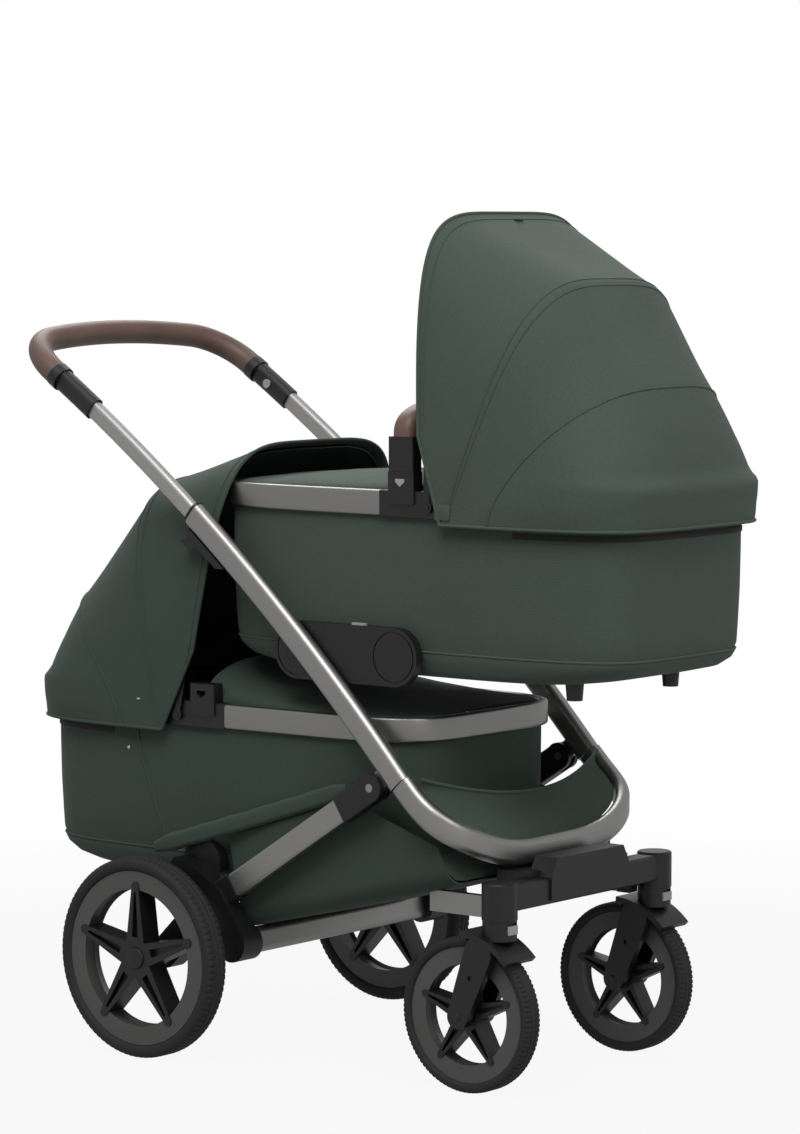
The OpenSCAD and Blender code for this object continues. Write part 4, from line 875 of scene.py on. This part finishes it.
HOODS = (("upper", in_upper, 0, green_cloth, hood_fold("upper", in_upper, UPPER_FOLD_TO)),
         ("lower", in_lower, LOWER_LEAN, painted_shade_cloth, hood_fold("lower", in_lower, LOWER_FOLD_TO)))
for name, place, lean, cloth, fold in HOODS:
    hood = loft(f"{name}_hood_cloth", [[place(*p) for p in row] for row in hood_rows(lean)], closed=False)
    face_away(hood, place(*HOOD_INSIDE))
    apply(hood, "SOLIDIFY", thickness=HOOD_T * MM, offset=-1)
    done(hood, fold, "green_fabric", cloth, f"{name}_hood", angle=HOOD_CREASE)

# %% [markdown]
# ### Seams and hems of the hoods
# The bows run in sewn channels, so a seam shows on both sides of the middle bow, and the edges are rolled.
# Each seam is an arch of the same sheet, a little proud of it.

# %% Hood seams and hems
EDGE_R, SEAM_R, REAR_SEAM_R, HEM_R, SEAM_PROUD, HEM_POINTS = 2.6, 1.1, 1.4, 2.4, 0.2, 3
HOOD_SEAMS = (("edge", 0, EDGE_R), ("edge_stitch", 0.25, SEAM_R), ("bow_seam_a", 2.87, SEAM_R),
              ("bow_seam_b", 3.1, SEAM_R), ("rear_seam", REAR_ROW, REAR_SEAM_R))
for name, place, lean, cloth, fold in HOODS:
    for seam_name, row, r in HOOD_SEAMS:
        line = [place(*p) for p in hood_arch(row, lean, proud=SEAM_PROUD)]
        piping(f"{name}_hood_{seam_name}", line, fold, cloth, r=r, up=(1, 0, 0))
    arches = [hood_arch(i / HEM_POINTS, lean, proud=SEAM_PROUD) for i in range(HEM_ROW * HEM_POINTS + 1)]
    hem = [row[0] for row in arches] + arches[-1][1:-1] + [row[-1] for row in reversed(arches)]
    piping(f"{name}_hood_hem", [place(*p) for p in hem], fold, cloth, r=HEM_R)

# %% [markdown]
# ## Aprons
# The apron closes the foot end inside the rim and rises to a rolled edge under the hood. The upper one is
# full for most of its length, the lower one falls steeply. It is a loft of low arches, each as wide as the
# rim there.

# %% Aprons
APRON_FROM, APRON_TO, APRON_GAP, APRON_SEAT, APRON_FOOT_H = -20, 362, 1, 3, 5
APRON_POWER, APRON_T, APRON_TURNS, APRON_ROWS, APRON_CREASE = 2.6, 3.6, 60, 48, 50
APRON_SOFT, APRON_SOFT_RATE, APRON_INSIDE = 1.2, 0.02, (160, 0, -200)
RECEIVER_INNER, RECEIVER_GAP, RECEIVER_EASE = 180, 0.6, 40
STEEP_FALL, FULL_FALL = 2.2, 2.5
ROLL_R, ROLL_BACK, ROLL_SHARE = 3.2, 1, 0.985
APRONS = (("upper", in_upper, 20, False, green_cloth), ("lower", in_lower, 58, True, painted_shade_cloth))


def apron_row(v, height, steep):
    """One arch of the apron, at a share of the way from its rolled edge to the foot end."""
    u, half = rim_points(turn_at(APRON_FROM + (APRON_TO - APRON_FROM) * v), -RIM_T - APRON_GAP)
    past_block = min(max((u - BLOCK_FRONT) / RECEIVER_EASE, 0), 1)
    half = mix(min(half, RECEIVER_INNER - RECEIVER_GAP), half, past_block)
    fall = (1 - v) ** STEEP_FALL if steep else 1 - v ** FULL_FALL
    rise = APRON_FOOT_H + (height - APRON_FOOT_H) * fall
    row = []
    for k in range(APRON_TURNS + 1):
        y, z = oval(half, rise, 180 * k / APRON_TURNS, APRON_POWER)
        held = math.sin(math.pi * k / APRON_TURNS)
        soft = APRON_SOFT * noise.noise(Vector((u, y, 0)) * APRON_SOFT_RATE) * held
        row.append((u, y, RIM_H / 2 - APRON_SEAT + max(z + soft, 0)))
    return row


for name, place, height, steep, cloth in APRONS:
    rows = [[place(*p) for p in apron_row(k / APRON_ROWS, height, steep)] for k in range(APRON_ROWS + 1)]
    apron = loft(f"{name}_apron_cloth", rows, closed=False)
    face_away(apron, place(*APRON_INSIDE))
    apply(apron, "SOLIDIFY", thickness=APRON_T * MM, offset=-1)
    done(apron, f"{name}_cot", "green_fabric", cloth, f"{name}_apron", angle=APRON_CREASE)
    edge = [place(u - ROLL_BACK, y * ROLL_SHARE, z - ROLL_BACK) for u, y, z in apron_row(0, height, steep)]
    piping(f"{name}_apron_roll", edge, f"{name}_cot", cloth, r=ROLL_R, up=(1, 0, 0))

# %% [markdown]
# ## Mattresses
# A foam pad in a cotton cover lies on the base of each carrycot. Its rows give it a crowned top and round
# edges. A short cloth simulation under pressure then fills it, as foam fills its cover, and a piped seam
# runs round it.

# %% Filling of a pad
PAD_SWELL, PAD_VOXEL, PAD_PRESSURE, PAD_FRAMES, NO_MOVE = 6, 8, 4, 14, 1e-9


def plump(piece, floor_z):
    """Fills a pad as its stuffing does: a cloth under pressure, whose points move a few millimetres."""
    apply(piece, "REMESH", mode="VOXEL", voxel_size=PAD_VOXEL * MM)
    rest = [v.co.copy() for v in piece.data.vertices]
    cloth = piece.modifiers.new("Cloth", "CLOTH")
    cloth.settings.use_pressure = True
    cloth.settings.uniform_pressure_force = PAD_PRESSURE
    cloth.settings.effector_weights.gravity = 0
    for step in range(1, PAD_FRAMES + 1):
        bpy.context.scene.frame_set(step)
    make_active(piece)
    bpy.ops.object.modifier_apply(modifier=cloth.name)
    bpy.context.scene.frame_set(1)
    for v, home in zip(piece.data.vertices, rest):
        move = v.co - home
        v.co = home + move * min(1, PAD_SWELL * MM / max(move.length, NO_MOVE))
        v.co.z = max(v.co.z, floor_z)


# %% Mattresses
PAD_A, PAD_B, PAD_Z, PAD_POWER, PAD_SHRINK, PAD_TURNS, PAD_CREASE = 262, 160, -235.7, 4, 4, 96, 70
WELT_INSET, WELT_Z, WELT_R = 1, 26, 1.8
# Inset at the end, inset at the side, height
PAD_ROWS = ((40, 40, 0), (12, 12, 0.5), (4, 4, 4), (0.5, 0.5, 12), (0, 0, 20), (1.5, 1.5, 28), (6, 6, 33),
            (14, 14, 35.2), (36, 36, 36.2), (80, 70, 37), (150, 110, 37.4), (261.9, 159.9, 37.6))


def pad_ring(place, inset_a, inset_b, z):
    turns = [360 * k / PAD_TURNS for k in range(PAD_TURNS)]
    return [place(*oval(PAD_A - inset_a, PAD_B - inset_b, turn, PAD_POWER), PAD_Z + z) for turn in turns]


for name, place, cloth in COTS:
    rings = [pad_ring(place, PAD_SHRINK + a, PAD_SHRINK + b, z) for a, b, z in PAD_ROWS]
    pad = loft(f"{name}_mattress_pad", rings)
    plump(pad, place(0, 0, PAD_Z).z * MM)
    done(pad, f"{name}_cot", "pale_fabric", pale_cotton, f"{name}_mattress", angle=PAD_CREASE)
    welt = pad_ring(place, WELT_INSET, WELT_INSET, WELT_Z)
    piping(f"{name}_mattress_piping", welt, f"{name}_cot", pale_cotton, r=WELT_R, loop=True)

# %% [markdown]
# ## Basket
# The basket is a sling of cloth between the rear legs and the front arms, with a padded hem along each
# side. Its floor sags. When the legs fold, its rear end goes with them, but here the cloth is fixed where it
# is drawn. A loft of cross-sections gives the trough, and its two ends are panels of their own.

# %% Basket lines
BASKET_W, BASKET_ROUND = 394, 30
BASKET_TOP, BASKET_LOW, BASKET_LOW_Z = (88, 470), (116, 490), (187, 284)
HEM_FOOT, HEM_PEAK, HEM_FRONT_Z = (-24, 296), (311, 405), 352
HEM_H, HEM_T, HEM_UNDER = 26, 15, 0.57
SIDE_STEPS, ROUND_STEPS, FLOOR_STEPS = 9, 7, 8
FLOOR_SAG, TUCK, TUCK_RATE = 6, 1.5, 0.018


def hem_z(x):
    """Height of the padded hem: it climbs from the rear legs to a peak and falls to the front."""
    if x < HEM_PEAK[0]:
        return HEM_PEAK[1] + (x - HEM_PEAK[0]) * (HEM_PEAK[1] - HEM_FOOT[1]) / (HEM_PEAK[0] - HEM_FOOT[0])
    return mix(HEM_PEAK[1], HEM_FRONT_Z, (x - HEM_PEAK[0]) / (BASKET_TOP[1] - HEM_PEAK[0]))


def basket_row(v):
    """One cross-section of the trough, from the left hem down, over the floor and up to the right hem."""
    top_x = mix(*BASKET_TOP, v)
    top_z = hem_z(top_x) - HEM_H * HEM_UNDER
    low_x, low_z = mix(*BASKET_LOW, v), mix(*BASKET_LOW_Z, v)
    half = [(BASKET_W / 2, mix(top_z, low_z + BASKET_ROUND, k / SIDE_STEPS)) for k in range(SIDE_STEPS)]
    for k in range(ROUND_STEPS + 1):
        a = math.radians(90 * k / ROUND_STEPS)
        y = BASKET_W / 2 - BASKET_ROUND * (1 - math.cos(a))
        half.append((y, low_z + BASKET_ROUND * (1 - math.sin(a))))
    for k in range(1, FLOOR_STEPS):
        half.append(((BASKET_W / 2 - BASKET_ROUND) * (1 - k / FLOOR_STEPS), low_z))
    row = []
    for side, points in ((1, half), (-1, half[::-1])):
        for y, z in points:
            x = mix(low_x, top_x, (z - low_z) / (top_z - low_z))
            sag = FLOOR_SAG * math.sin(math.pi * v) * (1 - (y / (BASKET_W / 2)) ** 2)
            tuck = TUCK * noise.noise(Vector((x, y * side, z)) * TUCK_RATE)
            row.append(at(x, side * (y + min(tuck, 0)), z - sag))
    return row


# %% Basket sling
BASKET_ROWS, BASKET_T, BASKET_CREASE, BASKET_INSIDE = 36, 2.5, 50, (290, 0, 340)
BASKET_BEND = ("frame", "rear_legs", (0.2, 0, 0.32), (-0.12, 0, 0.24))
basket_rings = [basket_row(k / BASKET_ROWS) for k in range(BASKET_ROWS + 1)]
basket = loft("basket_cloth", basket_rings, closed=False)
face_away(basket, at(*BASKET_INSIDE))
apply(basket, "SOLIDIFY", thickness=BASKET_T * MM, offset=-1)
done(basket, BASKET_BEND, "green_fabric", painted_shade_cloth, "basket", angle=BASKET_CREASE)

# %% Basket ends
END_ROWS, END_COLUMNS, END_T = 12, 24, 2
END_INSET, END_LIFT, END_BELLY, END_CORNER_Y, END_CORNER_W = 3, 4, 5, 164, 33
for name, v, share in (("front", 1, 0.8), ("rear", 0, 0.62)):
    top = basket_row(v)[0]
    base = at(mix(*BASKET_LOW, v), 0, mix(*BASKET_LOW_Z, v) + END_LIFT)
    out = 1 if v else -1
    rings = []
    for k in range(END_ROWS + 1):
        level = k / END_ROWS * share
        ring = []
        for j in range(END_COLUMNS + 1):
            y = (BASKET_W / 2 - END_INSET) * (1 - 2 * j / END_COLUMNS)
            past_corner = max((abs(y) - END_CORNER_Y) / END_CORNER_W, 0)
            corner = BASKET_ROUND * (1 - math.sqrt(max(1 - past_corner ** 2, 0)))
            z = mix(base.z + corner * (1 - level), top.z, level)
            belly = END_BELLY * math.sin(math.pi * level) * math.cos(math.pi * y / BASKET_W)
            x = mix(base.x, top.x, (z - base.z) / (top.z - base.z)) + out * (belly - END_INSET)
            ring.append(Vector((x, y, z)))
        rings.append(ring)
    panel = loft(f"basket_{name}_panel", rings, closed=False)
    apply(panel, "SOLIDIFY", thickness=END_T * MM, offset=0)
    done(panel, BASKET_BEND, "green_fabric", painted_shade_cloth, angle=BASKET_CREASE)

# %% [markdown]
# ### Padded hems of the basket
# A stuffed roll along each side keeps the basket open. It is a flat oval that is swept along the hem,
# swings out to the rear legs, tapers at its ends and is slightly uneven, as stuffing is.

# %% Basket hems
HEM_OUT, HEM_EASE, HEM_PROUD, HEM_STEPS, HEM_SIDES = 226, 220, 2, 40, 24
HEM_TAPER, TAPER_STEPS, HEM_PUCKER, PUCKER_RATE = 0.35, 3, 0.03, 1.1
for side_name, side in SIDES:
    line = []
    for k in range(HEM_STEPS + 1):
        x = mix(HEM_FOOT[0], HEM_PEAK[0], k / HEM_STEPS)
        near = smooth(1 - (x - HEM_FOOT[0]) / HEM_EASE)
        y = BASKET_W / 2 + HEM_PROUD + (HEM_OUT - BASKET_W / 2) * near
        line.append(at(x, side * y, hem_z(x)))
    rings = sweep(line, flat_oval(HEM_H, HEM_T, HEM_SIDES))
    for i, ring in enumerate(rings):
        from_end = min(i, HEM_STEPS - i, TAPER_STEPS) / TAPER_STEPS
        fat = 1 - HEM_TAPER * (1 - from_end) - HEM_PUCKER * math.sin(i * PUCKER_RATE)
        rings[i] = [line[i] + (p - line[i]) * fat for p in ring]
    hem = loft(f"basket_hem_{side_name}", rings)
    done(hem, BASKET_BEND, "green_fabric", painted_shade_cloth, angle=BASKET_CREASE)

# %% [markdown]
# ## Footrest
# A strip of cloth is stretched inside the front loop and rises to a rolled edge between the side tubes.
# Each row runs from the loop up to that edge, with a shallow dip.

# %% Footrest
SLING_INSET, SLING_LIFT, SLING_DIP, SLING_T = 15.5, 12, 10, 2.6
SLING_END, SLING_MID, SLING_SIDE_GAP, SLING_EDGE_R = (449, 431), (489, 398), 3, 3
SLING_STEPS, SLING_CREASE, SLING_UNDER = 14, 50, (350, 0, 300)
SLING_TRIM = 4  # steps of the loop that stay bare at each end
tube_end = at(TUBE_END[0], 0, TUBE_END[1])
rings = []
for k in range(SLING_TRIM, 2 * LOOP_STEPS - SLING_TRIM + 1):
    p = loop_line[k]
    outward = Vector((p.x - tube_end.x, p.y, 0)).normalized()
    low = p + Vector((0, 0, SLING_LIFT)) - outward * SLING_INSET
    s = (k - LOOP_STEPS) / (LOOP_STEPS - SLING_TRIM)
    high = at(mix(SLING_MID[0], SLING_END[0], s * s), (TUBE_Y - TUBE_T / 2 - SLING_SIDE_GAP) * s,
              mix(SLING_MID[1], SLING_END[1], s * s))
    ring = []
    for j in range(SLING_STEPS + 1):
        dip = SLING_DIP * math.sin(math.pi * j / SLING_STEPS)
        ring.append(low + (high - low) * (j / SLING_STEPS) - Vector((dip, 0, 0)))
    rings.append(ring)
sling = loft("footrest_cloth", rings, closed=False)
face_away(sling, at(*SLING_UNDER))
apply(sling, "SOLIDIFY", thickness=SLING_T * MM, offset=0)
done(sling, "frame", "green_fabric", painted_shade_cloth, "footrest", angle=SLING_CREASE)
piping("footrest_edge", [ring[-1] for ring in rings], "frame", painted_shade_cloth, r=SLING_EDGE_R)

# %% [markdown]
# ## Tyres
# A foam tyre has a plain side wall and a tread of small blocks. Its section is a rounded rectangle that
# goes round the wheel. The points of the tread step in and out from row to row, which cuts the blocks and
# two grooves without a separate mesh for each block.

# %% Tyre section
TYRE_SHARE, TYRE_ROUND_SHARE = 0.131, 0.45
TYRE_CORNER_STEPS, TREAD_POINTS = 5, 10


def tyre_section(r, w):
    """Points of the section as (radius, side), once round."""
    depth = r * TYRE_SHARE
    corner = depth * TYRE_ROUND_SHARE
    outer, inner, half = r - corner, r - depth + corner, w / 2 - corner
    made = []
    for x, y, start in ((outer, half, 0), (inner, half, 90), (inner, -half, 180), (outer, -half, 270)):
        for k in range(TYRE_CORNER_STEPS + 1):
            a = math.radians(start + 90 * k / TYRE_CORNER_STEPS)
            made.append((x + corner * math.cos(a), y + corner * math.sin(a)))
    for k in range(1, TREAD_POINTS):
        made.append((r, mix(-half, half, k / TREAD_POINTS)))
    return made


# %% Tyres
TREAD_DEPTH, BLOCKS, ROWS_PER_BLOCK, GAP_ROWS = 1.5, 96, 6, 2
LEFT_SHIFT, RIGHT_SHIFT = 2, 5  # the two sides of the tread are half a block apart
TREAD_HEIGHT, TREAD_FADE, SHOULDER_SHARE, GROOVE_SHARES = 5, 4, 0.2, (0.1, 0.17)
TYRE_CREASE = 35
REAR_R, REAR_TRACK, REAR_TYRE_W = 145, 570, 40
FRONT_R, FRONT_TRACK, FRONT_TYRE_W, FRONT_HUB_X = 109, 370, 34, 519


def tyre(name, x, z, y, r, w, body, node):
    """A tyre round a hub at (x, y, z), of an outer radius and a width."""
    section = tyre_section(r, w)
    rows = BLOCKS * ROWS_PER_BLOCK
    rings = []
    for i in range(rows + 1):
        a = 2 * math.pi * i / rows
        ring = []
        for radius, side in section:
            in_gap = (i + (LEFT_SHIFT if side > 0 else RIGHT_SHIFT)) % ROWS_PER_BLOCK < GAP_ROWS
            on_tread = min(max((radius - (r - TREAD_HEIGHT)) / TREAD_FADE, 0), 1)
            in_groove = w * GROOVE_SHARES[0] < abs(side) < w * GROOVE_SHARES[1]
            cut = on_tread if in_groove or (in_gap and abs(side) > w * SHOULDER_SHARE) else 0
            left = radius - TREAD_DEPTH * cut
            ring.append(at(x + left * math.sin(a), y + side, z - left * math.cos(a)))
        rings.append(ring)
    made = loft(name, rings, caps=False)
    done(made, body, "tyre_rubber", tyre_rubber, node, angle=TYRE_CREASE)


for side_name, side in SIDES:
    tyre(f"rear_tyre_tread_{side_name}", 0, REAR_R, side * REAR_TRACK / 2, REAR_R, REAR_TYRE_W,
         f"rear_wheel_{side_name}", f"rear_tyre_{side_name}")
    tyre(f"front_tyre_tread_{side_name}", FRONT_HUB_X, FRONT_R, side * FRONT_TRACK / 2, FRONT_R, FRONT_TYRE_W,
         f"front_wheel_{side_name}", f"front_tyre_{side_name}")

# %% [markdown]
# ## Small hardware
# Hub caps, fork caps and snaps are round pieces that a lathe could turn: a few rings of shrinking radius,
# closed by their last one. One function makes them all from a short table of radius and height.

# %% Turned caps
CAP_SIDES = 32
# Radius and height of each ring
HUB_CAP = ((16, -1), (16, 1.5), (15.2, 2.6), (12, 3.2), (0.01, 3.6))
FORK_CAP = ((5.7, -0.8), (5.7, 0.4), (4.8, 1.1), (0.01, 1.6))
SNAP = ((2.6, -0.6), (2.6, 0.6), (2, 1.2), (0.01, 1.4))
HUB_CAP_OUT, FORK_CAP_OUT, SNAP_U, SNAP_SUNK, SNAP_Z = 17, 32.5, -163, 0.6, -60


def cap(name, centre, axis, rings, body, slot, finish):
    """A turned piece: rings of (radius, height) along an axis from a centre in millimetres."""
    way = Vector(axis).normalized()
    side = way.orthogonal().normalized()
    other = way.cross(side)
    turns = [2 * math.pi * k / CAP_SIDES for k in range(CAP_SIDES)]
    made = []
    for r, h in rings:
        foot = Vector(centre) + way * h
        made.append([foot + (side * math.cos(a) + other * math.sin(a)) * r for a in turns])
    return done(loft(name, made), body, slot, finish)


for side_name, side in SIDES:
    hub_side = at(0, side * (REAR_TRACK / 2 + HUB_CAP_OUT), REAR_R)
    cap(f"rear_hub_cap_{side_name}", hub_side, (0, side, 0), HUB_CAP,
        f"rear_wheel_{side_name}", "black_plastic", black_nylon)
    for leg_name, leg in (("in", -1), ("out", 1)):
        fork_side = at(FRONT_HUB_X, side * FRONT_TRACK / 2 + leg * FORK_CAP_OUT, FRONT_R)
        cap(f"fork_cap_{side_name}_{leg_name}", fork_side, (0, leg, 0), FORK_CAP,
            f"fork_{side_name}", "black_plastic", black_nylon)
    cap(f"flap_snap_{side_name}", in_lower(SNAP_U, side * (TUB_B - SNAP_SUNK), SNAP_Z), (0, side, 0), SNAP,
        "lower_cot", "steel", axle_steel)

# %% [markdown]
# ## Seams, tabs and vents
# A flap at the head end of the lower carrycot shows as a curved seam with a snap. The hoods carry a sewn
# tab, a small metal label and a tag, and a dark band under each hood hides its vents. Seams are piping, the
# small plates are cubes with rounded edges, and the band is a thin strip swept round the head end.

# %% Flap seam of the lower cot
FLAP_R, FLAP_PROUD, FLAP_IN, FLAP_BEND_Z, FLAP_BEND_H = 1.5, 0.2, 4.6, -70, 126
FLAP = ((-145, -19), (-143, -40), (-138, -68), (-124, -106), (-108, -150), (-94, -184), (-82, -194),
        (-66, -198))
for side_name, side in SIDES:
    line = []
    for u, z in FLAP:
        drawn_in = FLAP_IN * min(max((FLAP_BEND_Z - z) / FLAP_BEND_H, 0), 1)
        line.append(in_lower(u, side * (TUB_B - drawn_in + FLAP_PROUD), z))
    piping(f"flap_seam_{side_name}", line, "lower_cot", painted_shade_cloth, r=FLAP_R, up=(0, 1, 0))

# %% Tabs and tags
PLATE_EDGE, PLATE_SEGMENTS = 0.6, 2
TAB_PLACE, TAB_SIZE = (-88, HOOD_B + 1, -8), (26, 2, 22)
LABEL_PLACE, LABEL_SIZE = (-127, HOOD_B + 0.6, 16), (6, 1.6, 3)
TAG_ROW, TAG_PROUD, TAG_SIZE = 0.3, 0.4, (8, 18, 2)


def plate(name, centre, size, body, slot, finish):
    """A small plate with rounded edges: a cube, sized, bevelled and moved to its place in millimetres."""
    bpy.ops.object.select_all(action="DESELECT")
    bpy.ops.mesh.primitive_cube_add(size=1)
    piece = bpy.context.object
    piece.name = name
    piece.scale = [v * MM for v in size]
    bpy.ops.object.transform_apply(scale=True)
    apply(piece, "BEVEL", width=PLATE_EDGE * MM, segments=PLATE_SEGMENTS)
    piece.location = Vector(centre) * MM
    make_active(piece)
    bpy.ops.object.transform_apply(location=True)
    return done(piece, body, slot, finish)


upper_fold, lower_fold = HOODS[0][-1], HOODS[1][-1]
for side_name, side in SIDES:
    u, y, z = TAB_PLACE
    plate(f"upper_hood_tab_{side_name}", in_upper(u, side * y, z), TAB_SIZE, upper_fold,
          "green_fabric", green_cloth)
    u, y, z = LABEL_PLACE
    plate(f"lower_hood_label_{side_name}", in_lower(u, side * y, z), LABEL_SIZE, lower_fold,
          "steel", axle_steel)
for name, place, lean, cloth, fold in HOODS:
    top = place(*hood_arch(TAG_ROW, lean, proud=TAG_PROUD)[HOOD_TURNS // 2])
    plate(f"{name}_hood_tag", top, TAG_SIZE, fold, "black_plastic", black_tape)

# %% Vent under the hood
VENT_FROM, VENT_Z, VENT_H, VENT_T, VENT_PROUD, VENT_TURNS = -190, -37, 7, 1.2, 0.2, 90
VENT_STRIP = (
    (-VENT_T, -VENT_H / 2), (VENT_T / 2, -VENT_H / 2), (VENT_T / 2, VENT_H / 2), (-VENT_T, VENT_H / 2))
for name, place, cloth in COTS:
    line = []
    for k in range(VENT_TURNS + 1):
        u, y = oval(TUB_A + VENT_PROUD, TUB_B + VENT_PROUD, 90 + 180 * k / VENT_TURNS)
        if u < VENT_FROM:
            line.append(place(u, y, VENT_Z))
    vent = loft(f"{name}_vent_band", sweep(line, VENT_STRIP))
    done(vent, f"{name}_cot", "green_fabric", black_tape)

# %% [markdown]
# ## Finishes of the solids that stay
# The beam, brackets, forks, wheels, buttons and bows are exact as they were built, so they stay. Each solid
# gets the finish of its slot.

# %% Dress the solids
BY_SLOT = {
    "anodised_aluminium": grey_aluminium, "bright_aluminium": bright_aluminium, "steel": axle_steel,
    "black_plastic": black_nylon, "grey_plastic": grey_abs, "light_grey_plastic": light_abs,
    "tyre_rubber": tyre_rubber, "brown_leather": brown_leather, "green_fabric": green_cloth,
    "pale_fabric": pale_cotton,
}
slots = {row["node"]: row["material_slot"] for row in frame["record"]["subparts"]}
for node, solid in frame["nodes"].items():
    solid.data.materials.clear()
    solid.data.materials.append(BY_SLOT[slots[node]])
print("dressed", len(slots), "solids")
